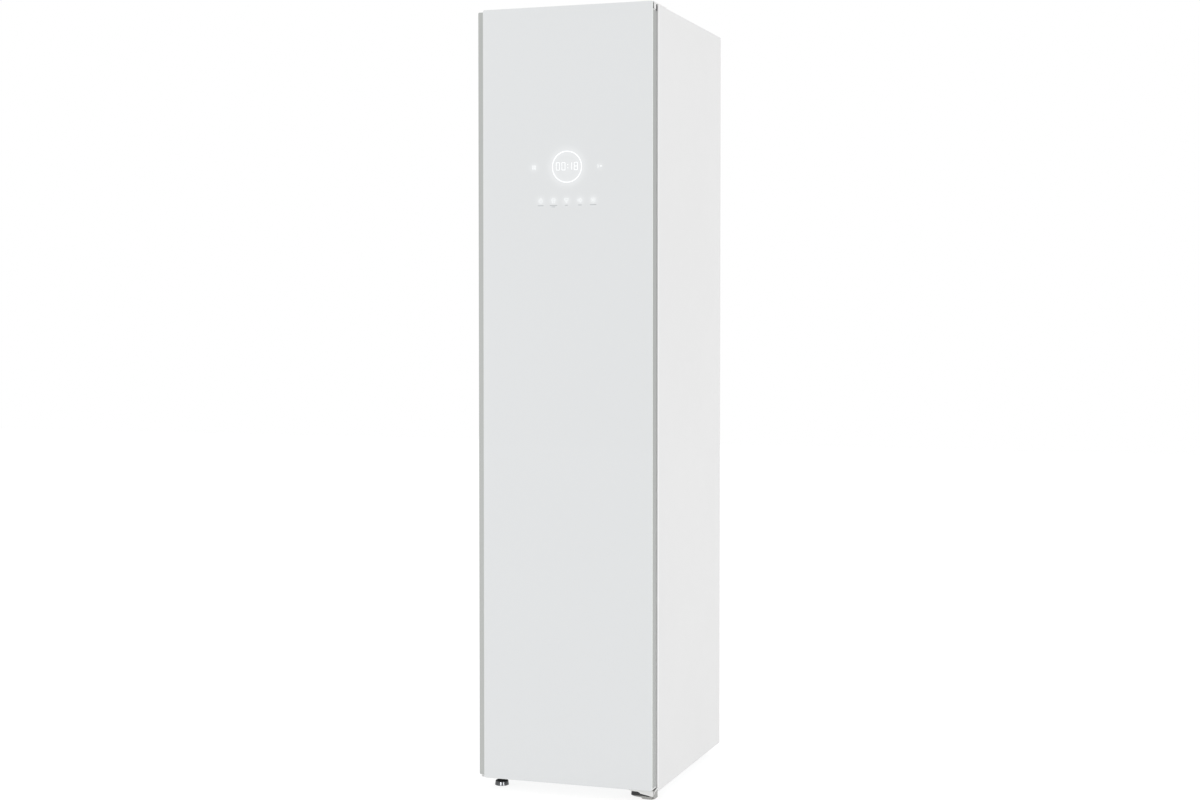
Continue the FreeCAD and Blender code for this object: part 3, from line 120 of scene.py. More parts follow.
class CabinetSizes(bpy.types.PropertyGroup):
    """Sizes of details that the frame leaves open."""

    glass_corner: length_setting("Glass corner", "Radius of the glass's four corners", 3.5)
    glass_bevel: length_setting("Glass bevel", "Ground edge of the glass", 0.6)
    sheet: length_setting("Sheet", "Thickness of the casing's steel", 1.2)
    bend: length_setting("Bend", "Outer radius of the side panels' front fold", 3.0)
    ring: length_setting("Ring", "Outer diameter of the display's ring", 73.0)
    digit: length_setting("Digit", "Height of the display's digits", 17.2)
    seal: length_setting("Seal", "Width of the door's seal", 12.0)
    minutes: bpy.props.IntProperty(
        name="Minutes", description="Time that the display shows", default=18, min=0, max=99, subtype="TIME"
    )


# ---------------------------------------------------------------- outlines


def around(centre, radius, turn):
    """The point at a radius and an angle round a centre."""
    return centre[0] + radius * math.cos(turn), centre[1] + radius * math.sin(turn)


def arc(centre, radius, start, end, steps):
    """Points on an arc, ends included, angles in radians."""
    turn = (end - start) / steps
    return [around(centre, radius, start + turn * i) for i in range(steps + 1)]


def quarter_ellipse(middle, wide, high, steps=5):
    """Points on an ellipse from its top to its left end, by its half width and half height."""
    turns = [math.pi / 2 * i / steps for i in range(steps + 1)]
    return [(middle[0] - wide * math.sin(turn), middle[1] + high * math.cos(turn)) for turn in turns]


def outline(corners, steps=6):
    """A closed outline from (u, v, radius) corners, each rounded by its radius."""
    points = []
    count = len(corners)
    for i, (u, v, radius) in enumerate(corners):
        here = Vector((u, v))
        before = Vector(corners[i - 1][:2])
        after = Vector(corners[(i + 1) % count][:2])
        inward, outward = (before - here).normalized(), (after - here).normalized()
        if radius <= 0:
            points.append((u, v))
            continue
        half = inward.angle(outward) / 2
        reach = radius / math.tan(half)
        centre = here + (inward + outward).normalized() * (radius / math.sin(half))
        first, last = here + inward * reach - centre, here + outward * reach - centre
        sweep = first.angle_signed(last)
        for step in range(steps + 1):
            turned = first.copy()
            turned.rotate(Matrix.Rotation(-sweep * step / steps, 2))
            points.append(tuple(centre + turned))
    return points


def rectangle(u, v, radius=0.0, steps=6):
    """A rounded rectangle's outline."""
    corners = ((u[0], v[0]), (u[1], v[0]), (u[1], v[1]), (u[0], v[1]))
    return outline([(*corner, radius) for corner in corners], steps)


def inset(pair, amount):
    """A (low, high) pair drawn in by an amount at both ends."""
    return pair[0] + amount, pair[1] - amount


def mm_from(origin, low, high):
    """(low, high) given in millimetres from an origin, in metres."""
    return origin + low * MM, origin + high * MM


def drawn(points, origin, up=1):
    """Points given in millimetres from an origin, in metres; up is -1 where their heights count downwards."""
    return [(origin[0] + u * MM, origin[1] + up * v * MM) for u, v in points]


def plate_with_hole(x, y, centre, radius, steps=48):
    """A rectangle's outline and a hole's, with matching points all the way round."""
    outer, inner = [], []
    for i in range(steps):
        turn = 2 * math.pi * (i + 0.5) / steps
        way = Vector((math.cos(turn), math.sin(turn)))
        reach = []
        for low_high, middle, step in ((x, centre[0], way.x), (y, centre[1], way.y)):
            if abs(step) > 1e-9:
                reach.append((low_high[step > 0] - middle) / step)
        outer.append(tuple(Vector(centre) + way * min(reach)))
        inner.append(tuple(Vector(centre) + way * radius))
    return outer, inner


# ---------------------------------------------------------------- mesh building

# For each axis, the two that lie across it and the axis itself
PLANE = {"X": (1, 2, 0), "Y": (0, 2, 1), "Z": (0, 1, 2)}
# Radius of a turned shape where it meets its axis
TIP = 0.001 * MM
# Corner radius of a rib's ends, as a share of its half width
RIB_ROUNDING = 0.98
EDGE_SEGMENTS, EDGE_ANGLE = 2, math.radians(40)


def at(axis, u, v, w):
    """A point whose (u, v) lie across an axis and w along it."""
    point = [0.0, 0.0, 0.0]
    for index, value in zip(PLANE[axis], (u, v, w)):
        point[index] = value
    return point


def add_prism(bm, points, along, axis="Z"):
    """Extrudes a closed outline between two levels of an axis."""
    rings = [[bm.verts.new(at(axis, u, v, w)) for u, v in points] for w in along]
    faces = [bm.faces.new(rings[0]), bm.faces.new(rings[1][::-1])]
    for i in range(len(points)):
        j = (i + 1) % len(points)
        faces.append(bm.faces.new((rings[0][i], rings[0][j], rings[1][j], rings[1][i])))
    return faces


def add_box(bm, x, y, z):
    """A plain box between three (low, high) pairs."""
    add_prism(bm, rectangle(x, y), z)


def add_loops(bm, loops, closed=False):
    """Skins equal loops of points one after the other, then joins the last to the first or caps both."""
    rings = [[bm.verts.new(point) for point in loop] for loop in loops]
    pairs = list(zip(rings, rings[1:]))
    if closed:
        pairs.append((rings[-1], rings[0]))
    for first, second in pairs:
        for i in range(len(first)):
            j = (i + 1) % len(first)
            bm.faces.new((first[i], first[j], second[j], second[i]))
    if not closed:
        bm.faces.new(rings[0])
        bm.faces.new(rings[-1][::-1])


def add_frame(bm, outer, inner, along, axis="Y"):
    """A flat frame between two outlines with the same number of points."""
    low, high = along
    loops = [
        [at(axis, *edge, low), at(axis, *edge, high), at(axis, *hole, high), at(axis, *hole, low)]
        for edge, hole in zip(outer, inner)
    ]
    add_loops(bm, loops, closed=True)


def add_revolved(bm, profile, centre, segments=48, wave=None):
    """Turns (radius, level) points round an upright axis; wave may vary the radius with the angle."""
    loops = []
    for radius, level in profile:
        loop = []
        for i in range(segments):
            turn = 2 * math.pi * i / segments
            reach = radius * (wave(turn) if wave else 1.0)
            loop.append((*around(centre, reach, turn), level))
        loops.append(loop)
    add_loops(bm, loops)


def add_rib(bm, x, z, y, section, grow=1, steps=5):
    """An upright rib on a sheet at y, by (half width, rise) in millimetres; its ends grow with its width."""
    loops = []
    for half, rise in section:
        wide = half * MM
        points = rectangle((x - wide, x + wide), inset(z, -wide * grow), wide * RIB_ROUNDING, steps)
        loops.append([at("Y", u, v, y + rise * MM) for u, v in points])
    add_loops(bm, loops)


def add_swept_rectangle(bm, section, x, z, corner, front, steps=8):
    """Sweeps an (outward, forward) section round a rounded rectangle in the XZ plane."""
    quarters = ((x[1], z[1], 0), (x[0], z[1], 1), (x[0], z[0], 2), (x[1], z[0], 3))
    loops = []
    for cu, cv, quarter in quarters:
        centre = (cu - math.copysign(corner, cu - sum(x) / 2), cv - math.copysign(corner, cv - sum(z) / 2))
        for step in range(steps + 1):
            turn = math.pi / 2 * (quarter + step / steps)
            out = Vector((math.cos(turn), math.sin(turn)))
            base = Vector(centre) + out * corner
            loops.append([(base.x + out.x * n, front + d, base.y + out.y * n) for n, d in section])
    add_loops(bm, loops, closed=True)


def piece(name, body, slot, build, *finishes, replaces=(), smooth_angle=35, bevel=0.0):
    """A finished mesh object on a body: build fills its mesh, and finishes names its materials in order."""
    mesh = bpy.data.meshes.new(name)
    bm = bmesh.new()
    build(bm)
    bmesh.ops.recalc_face_normals(bm, faces=bm.faces)
    bm.to_mesh(mesh)
    bm.free()
    for finish in finishes:
        mesh.materials.append(MATERIALS[finish])
    mesh.polygons.foreach_set("use_smooth", [True] * len(mesh.polygons))
    mesh.set_sharp_from_angle(angle=math.radians(smooth_angle))
    obj = bpy.data.objects.new(name, mesh)
    bpy.context.scene.collection.objects.link(obj)
    if bevel:
        soften(obj, bevel)
    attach(obj, body)
    if replaces:
        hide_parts(*replaces)
    return obj


def soften(obj, width):
    """Small rounded edges on a piece."""
    bevel = obj.modifiers.new("Edges", "BEVEL")
    bevel.width = width
    bevel.segments = EDGE_SEGMENTS
    bevel.limit_method = "ANGLE"
    bevel.angle_limit = EDGE_ANGLE
    bevel.harden_normals = True
    bevel.use_clamp_overlap = True


# ---------------------------------------------------------------- display layout

# Places on the glass, along the frame's X and Z
DISPLAY = Vector((12.4 * MM, 1478.2 * MM))
ICON_ROW_Z, CAPTION_Z = 1400.2 * MM, 1389.1 * MM
ICON_XS = tuple(x * MM for x in (-52.8, -21.0, 11.1, 44.5, 76.7))
LEFT_SIGN_X, RIGHT_SIGN_X = -69.2 * MM, 92.7 * MM
# The glass's face is set back by the signs' thickness, so that they stay inside the construction's box
SIGN_THICKNESS = 0.15 * MM
SIGN_Y = (GLASS_Y[0] + 0.05 * MM, GLASS_Y[0] + SIGN_THICKNESS)
STROKE, RING_STROKE, SIGN_STROKE, CAPTION_STROKE = 0.85 * MM, 1.3 * MM, 0.6 * MM, 1.3 * MM

# Painted glow of the display's light on the glass, by width and strength: round the ring, and about a centre
# of their own
RING_HALO = (10 * MM, 0.052)
HALOS = (
    (DISPLAY, 34 * MM, 0.066),
    ((LEFT_SIGN_X, DISPLAY.y), 9 * MM, 0.08),
    ((RIGHT_SIGN_X, DISPLAY.y), 8 * MM, 0.05),
    *(((x, ICON_ROW_Z), 9 * MM, 0.1) for x in ICON_XS),
)

# Lit bars of each digit, a to g: top, upper right, lower right, bottom, lower left, upper left, middle
DIGIT_BARS = ("abcdef", "bc", "abged", "abgcd", "fgbc", "afgcd", "afgedc", "abc", "abcdefg", "abcdfg")
# A digit's width as a share of its height, and the gap at a bar's end as a share of its stroke
DIGIT_WIDTH, BAR_GAP = 0.46, 0.62
# Digits and the colon's two dots, in millimetres from the ring's middle
DIGIT_OFFSETS, DIGIT_RISE = (-22.4, -8.6, 7.6, 21.8), 1.2
COLON_OFFSET, COLON_RISES, COLON_DOT = 2.2, (-2.5, 4.9), 0.9

# The signs beside the ring, in millimetres: a shell on feet with its bars by (start, end, stroke), and waves
SIDE_SIGN_DROP = 0.3
SHELL, SHELL_STROKE = ((-4, 4.4), (4, 4.4), (4, -2.6), (-4, -2.6)), 0.9
SHELL_BARS = (
    ((-2, 2), (2, 2), 1.2),
    ((-2, -0.4), (2, -0.4), 0.9),
    ((-2.6, -2.6), (-2.6, -5), 0.9),
    ((2.6, -2.6), (2.6, -5), 0.9),
)
WAVE_RADII, WAVE_ARC = (3.2, 6.0), (math.radians(125), math.radians(235))
WAVE_DOT, WAVE_DOT_OFFSET, WAVE_BAR = 1.8, 2.4, ((5, -2), (5, 2))

# Programme signs, in millimetres: drop, shirt, trousers and arrow, each with a short bar, and the sun
ICON_SHAPES = (
    ((0.6, 6), (3.6, 1.6), (4, -1.6), (2.2, -4.6), (-1.4, -5), (-4, -2.6), (-3.8, 0.6), (-1.8, 3.4)),
    ((-5, 1.8), (-2.2, 4.8), (2.2, 4.8), (5, 1.8), (3, 0.4), (3, -5), (-3, -5), (-3, 0.4)),
    ((-4.6, 4.6), (4.6, 4.6), (4, 0.6), (1.4, -1.2), (0.8, -5), (-0.8, -5), (-1.4, -1.2), (-4, 0.6)),
    ((-5, 2), (0, 2), (0, 4.8), (5.4, 0), (0, -4.8), (0, -2), (-5, -2)),
)
ICON_BAR = ((-1.2, 0), (1.2, 0))
SUN_RADIUS, SUN_RAYS, SUN_RAY = 2.4, 8, (4.2, 6.6)

# Captions' widths in millimetres, and a second line under one of them by its width and step down
CAPTION_WIDTHS = (13, 17, 6, 8, 15)
SECOND_WIDTH, SECOND_STEP = 8, 3.2


# ---------------------------------------------------------------- materials


def add(tree, kind, inputs=None, **settings):
    """Adds a node, with its settings, and its inputs as values or as sockets to link."""
    node = tree.nodes.new(kind)
    for key, value in settings.items():
        setattr(node, key, value)
    for key, value in (inputs or {}).items():
        if isinstance(value, bpy.types.NodeSocket):
            tree.links.new(value, node.inputs[key])
        else:
            node.inputs[key].default_value = value
    return node


def begin(name, colour, **inputs):
    """A new principled material: (material, tree, shader)."""
    material = bpy.data.materials.new(name)
    material.use_nodes = True
    material.diffuse_color = (*colour, 1)
    tree = material.node_tree
    tree.nodes.clear()
    shader = add(tree, "ShaderNodeBsdfPrincipled", {"Base Color": (*colour, 1), **inputs})
    add(tree, "ShaderNodeOutputMaterial", {"Surface": shader.outputs["BSDF"]})
    return material, tree, shader


def grain(tree, size_mm, detail=2.0, stretch=(1, 1, 1)):
    """Noise whose lumps are about size_mm across, drawn out by stretch along each axis."""
    place = add(tree, "ShaderNodeTexCoord")
    scale = tuple(1 / s for s in stretch)
    mapping = add(tree, "ShaderNodeMapping", {"Vector": place.outputs["Object"], "Scale": scale})
    inputs = {"Vector": mapping.outputs[0], "Scale": 1 / (size_mm * MM), "Detail": detail}
    return add(tree, "ShaderNodeTexNoise", inputs).outputs["Fac"]


def relief(tree, shader, height, depth_mm, strength=1.0):
    """Bumps a shader by a height pattern of a real depth."""
    inputs = {"Height": height, "Distance": depth_mm * MM, "Strength": strength}
    bump = add(tree, "ShaderNodeBump", inputs)
    tree.links.new(bump.outputs[0], shader.inputs["Normal"])


# Most of a noise pattern's values lie between these
NOISE_RANGE = {"From Min": 0.3, "From Max": 0.7}


def vary(tree, shader, pattern, socket, low, high):
    """Drives a shader value between two limits by a pattern."""
    inputs = {"Value": pattern, **NOISE_RANGE, "To Min": low, "To Max": high}
    mapped = add(tree, "ShaderNodeMapRange", inputs)
    tree.links.new(mapped.outputs[0], shader.inputs[socket])


def shade(colour, factor):
    """A colour made darker or lighter."""
    return tuple(min(1.0, c * factor) for c in colour)


def tint(tree, shader, pattern, colour, low, high):
    """Drives the base colour between two shades of it by a pattern."""
    mapped = add(tree, "ShaderNodeMapRange", {"Value": pattern, **NOISE_RANGE})
    first, last = ((*shade(colour, factor), 1) for factor in (low, high))
    mix = add(tree, "ShaderNodeMix", {0: mapped.outputs[0], 6: first, 7: last}, data_type="RGBA")
    tree.links.new(mix.outputs[2], shader.inputs["Base Color"])


def powder_coat(settings):
    """Polyester powder coat on steel: satin, with the low orange peel of a sprayed and baked film."""
    colour = tuple(settings.enamel)
    material, tree, shader = begin("powder_coated_steel", colour, Roughness=0.42, IOR=1.5)
    # real peel is 1 to 2 mm across; drawn at 3 mm so that it shows at all
    relief(tree, shader, grain(tree, 3.0, 1.0), 0.02, 0.5)
    vary(tree, shader, grain(tree, 40.0), "Roughness", 0.39, 0.45)
    tint(tree, shader, grain(tree, 300.0), colour, 0.993, 1.006)
    return material


def fold_highlight_coat():
    """The same powder coat over a fold, glossier than the flat sheet and whiter as a painted highlight along
    the fold.
    """
    # A whiter colour than the flat coat's: painted highlight on the fold
    colour = linear("#FEFEFE")
    values = {"Roughness": 0.3, "IOR": 1.5, "Coat Weight": 0.8, "Coat Roughness": 0.25}
    material, tree, shader = begin("powder_coat_painted_highlight_fold", colour, **values)
    tint(tree, shader, grain(tree, 40.0), colour, 0.98, 1)
    return material


def extruded_aluminium(name, colour):
    """Aluminium drawn through a die, etched and anodised: fine lines along its length, a dull sheen."""
    material, tree, shader = begin(name, colour, Metallic=1.0, Roughness=0.42)
    # die lines are 0.2 mm apart; drawn at 1.2 mm so that they show
    lines = grain(tree, 1.2, 2.0, (1, 1, 150))
    relief(tree, shader, lines, 0.01, 0.35)
    vary(tree, shader, lines, "Roughness", 0.38, 0.47)
    tint(tree, shader, lines, colour, 0.97, 1.02)
    return material


def moulded(name, colour, roughness=0.45, texture_mm=0.6, depth_mm=0.015):
    """Injection-moulded plastic with a spark-eroded tool texture: even, softly broken highlights."""
    material, tree, shader = begin(name, colour, Roughness=roughness, IOR=1.46)
    relief(tree, shader, grain(tree, texture_mm, 3.0), depth_mm, 0.6)
    vary(tree, shader, grain(tree, 25.0), "Roughness", roughness - 0.04, roughness + 0.05)
    tint(tree, shader, grain(tree, 120.0), colour, 0.985, 1.01)
    return material


def foot_rubber():
    """Black rubber filled with carbon: dull, so that it hardly mirrors the floor."""
    colour = linear("#303030")
    values = {"Roughness": 0.8, "Specular IOR Level": 0.15}
    material, tree, shader = begin("moulded_black_rubber", colour, **values)
    tint(tree, shader, grain(tree, 8.0), colour, 0.8, 1.3)
    return material


def zinc_plate():
    """Pressed steel with bright zinc plate: a warm silver with a cloudy lustre."""
    colour = linear("#9A9A97")
    material, tree, shader = begin("zinc_plated_steel", colour, Metallic=1.0, Roughness=0.32)
    clouds = grain(tree, 7.0, 4.0)
    vary(tree, shader, clouds, "Roughness", 0.24, 0.42)
    tint(tree, shader, clouds, colour, 0.86, 1.08)
    return material


def galvanised():
    """Hot-dip galvanised sheet: flat zinc crystals of several millimetres, each with its own grey."""
    colour = linear("#B4B7B8")
    material, tree, shader = begin("galvanised_sheet", colour, Metallic=0.9, Roughness=0.45)
    place = add(tree, "ShaderNodeTexCoord").outputs["Object"]
    crystals = add(tree, "ShaderNodeTexVoronoi", {"Vector": place, "Scale": 1 / (9.0 * MM)}).outputs["Color"]
    value = add(tree, "ShaderNodeSeparateColor", {"Color": crystals}).outputs[0]
    vary(tree, shader, value, "Roughness", 0.36, 0.52)
    tint(tree, shader, value, colour, 0.93, 1.05)
    return material


def plain_metal(name, code, roughness, cloud_mm=6.0, stretch=(1, 1, 1)):
    """Bare machined or cast metal with slight cloudiness, or with brush lines where it is stretched."""
    colour = linear(code)
    material, tree, shader = begin(name, colour, Metallic=1.0, Roughness=roughness)
    clouds = grain(tree, cloud_mm, 3.0, stretch)
    vary(tree, shader, clouds, "Roughness", roughness * 0.85, roughness * 1.2)
    tint(tree, shader, clouds, colour, 0.92, 1.05)
    return material


def soft_seal():
    """Extruded soft vinyl seal: matt and slightly waxy."""
    colour = linear("#DADBDA")
    material, tree, shader = begin("extruded_vinyl", colour, Roughness=0.6, IOR=1.52)
    vary(tree, shader, grain(tree, 4.0), "Roughness", 0.54, 0.68)
    tint(tree, shader, grain(tree, 60.0), colour, 0.97, 1)
    return material


def foam():
    """Expanded polystyrene: bonded beads of about 4 mm."""
    colour = linear("#EFEFEA")
    material, tree, shader = begin("bead_foam", colour, Roughness=0.85, IOR=1.4)
    place = add(tree, "ShaderNodeTexCoord").outputs["Object"]
    beads = add(tree, "ShaderNodeTexVoronoi", {"Vector": place, "Scale": 1 / (4.0 * MM)}).outputs["Distance"]
    relief(tree, shader, beads, 0.4, 0.5)
    tint(tree, shader, beads, colour, 1, 0.88)
    return material


def tank_plastic():
    """Styrene-acrylonitrile tinted pale grey: clear enough to see the water's level through."""
    colour = linear("#C3CCD0")
    values = {"Roughness": 0.18, "IOR": 1.57, "Transmission Weight": 0.5}
    material, tree, shader = begin("smoked_styrene", colour, **values)
    relief(tree, shader, grain(tree, 30.0), 0.15, 0.2)
    tint(tree, shader, grain(tree, 80.0), colour, 0.95, 1.05)
    return material


def frosted_lens():
    """Opal acrylic diffuser with a low glow from the lamp board behind it."""
    glow_colour = (*linear("#FFF8EA"), 1)
    values = {"Roughness": 0.5, "IOR": 1.49, "Emission Color": glow_colour, "Emission Strength": 0.12}
    material, tree, shader = begin("opal_acrylic", linear("#F4F4EF"), **values)
    relief(tree, shader, grain(tree, 2.0, 2.0), 0.02, 0.4)
    return material


def lit_sign(settings, name, strength):
    """Light from small lamps through a printed mask: even and near white."""
    colour = tuple(settings.light)
    values = {"Roughness": 0.4, "Emission Color": (*colour, 1), "Emission Strength": strength}
    material, tree, shader = begin(name, shade(colour, 0.4), **values)
    vary(tree, shader, grain(tree, 6.0), "Emission Strength", strength * 0.95, strength * 1.05)
    return material


def printed_grey():
    """Screen-printed ceramic ink, grey on the glass."""
    colour = linear("#B6B9BB")
    material, tree, shader = begin("screen_ink", colour, Roughness=0.3)
    tint(tree, shader, grain(tree, 1.5), colour, 0.97, 1.03)
    return material


def glow(tree, position, centre, radius, width, strength):
    """A painted glow on the glass round a ring of a radius, or round a point where it is 0."""
    middle = (centre[0], GLASS_Y[0], centre[1])
    away = add(tree, "ShaderNodeVectorMath", {0: position, 1: middle}, operation="DISTANCE").outputs["Value"]
    off = add(tree, "ShaderNodeMath", {0: away, 1: radius}, operation="SUBTRACT").outputs[0]
    scaled = add(tree, "ShaderNodeMath", {0: off, 1: width}, operation="DIVIDE").outputs[0]
    square = add(tree, "ShaderNodeMath", {0: scaled, 1: scaled}, operation="MULTIPLY").outputs[0]
    minus = add(tree, "ShaderNodeMath", {0: square, 1: -1.0}, operation="MULTIPLY").outputs[0]
    bell = add(tree, "ShaderNodeMath", {0: minus}, operation="EXPONENT").outputs[0]
    return add(tree, "ShaderNodeMath", {0: bell, 1: strength}, operation="MULTIPLY").outputs[0]


def painted_glass(settings, sizes):
    """Float glass with fired enamel on its back: a flat, cool white under a clear, glossy face, with the
    display's light painted round its signs as a glow.
    """
    colour = tuple(settings.glass)
    values = {"Roughness": 0.5, "IOR": 1.5, "Coat Weight": 1.0, "Coat Roughness": 0.02, "Coat IOR": 1.5}
    material, tree, shader = begin("back_enamelled_glass", colour, **values)
    tint(tree, shader, grain(tree, 500.0, 1.0), colour, 0.995, 1.005)
    position = add(tree, "ShaderNodeTexCoord").outputs["Object"]
    # Painted glow of the display's light, summed over the ring and the signs
    total = glow(tree, position, DISPLAY, sizes.ring / 2, *RING_HALO)
    for centre, width, strength in HALOS:
        halo = glow(tree, position, centre, 0.0, width, strength)
        total = add(tree, "ShaderNodeMath", {0: total, 1: halo}, operation="ADD").outputs[0]
    shader.inputs["Emission Color"].default_value = (*tuple(settings.light), 1)
    tree.links.new(total, shader.inputs["Emission Strength"])
    return material


def ground_edge():
    """The glass's ground and polished rim: brighter than its face and faintly green."""
    colour = linear("#E9EEEA")
    values = {"Roughness": 0.18, "IOR": 1.52, "Coat Weight": 0.6, "Coat Roughness": 0.05}
    material, tree, shader = begin("ground_glass_edge", colour, **values)
    tint(tree, shader, grain(tree, 2.0, 2.0, (1, 1, 20)), colour, 0.98, 1.02)
    return material


MATERIALS = {}


def make_materials():
    """Makes every finish once."""
    finish, sizes = bpy.context.scene.cabinet_finish, bpy.context.scene.cabinet_sizes
    MATERIALS.update(
        enamel=powder_coat(finish),
        # The fold's coat carries a painted highlight
        fold=fold_highlight_coat(),
        anodised=extruded_aluminium("anodised_aluminium", tuple(finish.anodised)),
        # The grip's copy of the aluminium is lighter than the hinge profile's: painted light
        grip=extruded_aluminium("anodised_grip_painted_light", tuple(finish.grip)),
        moulding=moulded("moulded_abs_white", tuple(finish.moulding), 0.4),
        liner=moulded("moulded_liner", tuple(finish.liner), 0.38, 0.8),
        trim=moulded("moulded_trim_grey", tuple(finish.trim), 0.42),
        black=moulded("glass_filled_nylon", linear("#232425"), 0.35, 0.5),
        rubber=foot_rubber(),
        plated=plain_metal("nickel_plated_steel", "#5C5D5F", 0.15, 12.0),
        housing=moulded("moulded_housing", linear("#C9CBCC"), 0.5),
        zinc=zinc_plate(),
        galvanised=galvanised(),
        steel=plain_metal("stainless_steel", "#CFCFCE", 0.22),
        cast=plain_metal("cast_aluminium", "#A8A9A8", 0.5),
        copper=plain_metal("drawn_copper", "#D18A66", 0.28),
        fins=plain_metal("rolled_fins", "#C6C8C9", 0.4),
        bar=plain_metal("brushed_bar", "#C8C9C9", 0.3, 1.5, (80, 1, 1)),
        seal=soft_seal(),
        silicone=moulded("moulded_silicone", linear("#C9C8C2"), 0.6, 1.0),
        foam=foam(),
        tank=tank_plastic(),
        tank_trim=moulded("moulded_tank_trim", linear("#7E878C"), 0.4),
        lens=frosted_lens(),
        light=lit_sign(finish, "display_light", 0.95),
        dim_light=lit_sign(finish, "display_light_dim", 0.72),
        ink=printed_grey(),
        glass=painted_glass(finish, sizes),
        glass_edge=ground_edge(),
        black_enamel=moulded("stoved_black_enamel", linear("#1C1D1E"), 0.3, 3.0),
    )


# Which finish each carried-over node wears
NODE_FINISH = {
    "enamel": ("top_cover", "front_frame"),
    "anodised": ("hinge_profile",),
    "grip": ("grip_profile",),
    "moulding": ("door_top_cap", "door_bottom_cap", "upper_hinge"),
    "liner": (
        "chamber_left_wall", "chamber_right_wall", "chamber_back_wall", "chamber_ceiling", "chamber_floor",
        "door_liner", "press_board", "shelf",
    ),
    "trim": (
        "floor_grille", "back_vents", "drive_cover", "scent_box", "lint_filter", "tank_bay", "steam_nozzle",
        "press_panel",
    ),
    "black": (
        "power_inlet", "foot_front_left", "foot_front_right", "foot_rear_left", "foot_rear_right",
        "shaker_motor", "blower_motor", "drain_pump",
    ),
    "housing": ("control_box", "blower_housing", "blower_wheel"),
    "zinc": ("lower_hinge",),
    "galvanised": ("rear_panel", "service_cover", "base_pan", "drive_plate"),
    "steel": ("casing_screws", "guide_rods", "press_pins"),
    "cast": ("steam_generator", "crank", "hanger_carriage"),
    "copper": ("refrigerant_pipes",),
    "fins": ("heat_exchangers",),
    "bar": ("hanger_bar",),
    "seal": ("door_gasket",),
    "silicone": ("steam_hose",),
    "foam": ("insulation", "door_core"),
    "tank": ("drain_tank", "fresh_tank"),
    "lens": ("chamber_lamp",),
    "black_enamel": ("compressor",),
    "light": ("display_module",),
    "glass": ("door_glass",),
}


# Rounded edges of carried-over nodes, in millimetres
NODE_EDGES = {
    1.2: (
        "drive_cover", "press_panel", "press_board", "scent_box", "control_box", "blower_housing",
        "drain_pump",
    ),
    0.8: ("top_cover", "door_top_cap", "door_bottom_cap", "floor_grille", "steam_generator", "hanger_bar"),
    0.5: (
        "back_vents", "lint_filter", "steam_nozzle", "power_inlet", "tank_bay", "hanger_carriage", "crank",
        "lower_hinge", "upper_hinge", "hinge_profile", "grip_profile", "shelf", "door_liner",
    ),
}


class CABINET_OT_finishes(bpy.types.Operator):
    """Makes the finishes and gives every construction part its own"""

    bl_idname = "cabinet.finishes"
    bl_label = "Finishes"

    def execute(self, context):
        make_materials()
        for finish, names in NODE_FINISH.items():
            for name in names:
                mesh = NODES[name].data
                mesh.materials.clear()
                mesh.materials.append(MATERIALS[finish])
        for width, names in NODE_EDGES.items():
            for name in names:
                soften(NODES[name], width * MM)
        return {"FINISHED"}


# ---------------------------------------------------------------- casing


class CABINET_OT_casing(bpy.types.Operator):
    """Builds the folded side panels"""

    bl_idname = "cabinet.casing"
    bl_label = "Casing"

    def execute(self, context):
        sizes = context.scene.cabinet_sizes
        for side, sign in (("left", -1), ("right", 1)):
            name = f"side_panel_{side}"
            inner, outer = sorted(span(name, 0), key=abs)
            back, lip = outer - sign * sizes.sheet, BODY_FRONT + sizes.sheet
            corners = [
                (inner, BODY_FRONT, 0),
                (outer, BODY_FRONT, sizes.bend),
                (outer, SIDE_Y[1], 0),
                (back, SIDE_Y[1], 0),
                (back, lip, sizes.bend - sizes.sheet),
                (inner, lip, 0),
            ]

            def panel(bm):
                for face in add_prism(bm, outline(corners, 10), SIDE_Z)[2:]:
                    middle = face.calc_center_median()
                    # Faces round the front fold wear the coat with the painted highlight
                    folded = middle.y < BODY_FRONT + sizes.bend and abs(middle.x) > abs(outer) - sizes.bend
                    face.material_index = int(folded)

            piece(f"folded_{name}", "cabinet", "white_enamel", panel, "enamel", "fold", replaces=(name,))
        return {"FINISHED"}


# ---------------------------------------------------------------- door


class CABINET_OT_door_glass(bpy.types.Operator):
    """Builds the door's glass with its ground edge"""

    bl_idname = "cabinet.door_glass"
    bl_label = "Door glass"

    def execute(self, context):
        sizes = context.scene.cabinet_sizes
        bevel = sizes.glass_bevel
        face = rectangle(inset(GLASS_X, bevel), inset(GLASS_Z, bevel), sizes.glass_corner - bevel, 8)
        rim = rectangle(GLASS_X, GLASS_Z, sizes.glass_corner, 8)
        front = GLASS_Y[0] + SIGN_THICKNESS

        def pane(bm):
            levels = ((face, front), (rim, front + bevel), (rim, GLASS_Y[1]))
            add_loops(bm, [[at("Y", u, v, y) for u, v in points] for points, y in levels])
            for polygon in bm.faces:
                polygon.material_index = int(len(polygon.verts) == 4)

        piece("glass_pane", "door", "white_glass", pane, "glass", "glass_edge", replaces=("door_glass",))
        return {"FINISHED"}


def add_stroke(bm, start, end, width):
    """A flat bar with round ends between two points of the glass."""
    start, end = Vector(start), Vector(end)
    run = end - start
    angle = math.atan2(run.y, run.x)
    points = arc(end, width / 2, angle - math.pi / 2, angle + math.pi / 2, 6)
    points += arc(start, width / 2, angle + math.pi / 2, angle + 3 * math.pi / 2, 6)
    add_prism(bm, points, SIGN_Y, "Y")


def add_path(bm, points, width, closed=False):
    """Bars joined end to end."""
    ends = list(zip(points, points[1:]))
    if closed:
        ends.append((points[-1], points[0]))
    for start, end in ends:
        add_stroke(bm, start, end, width)


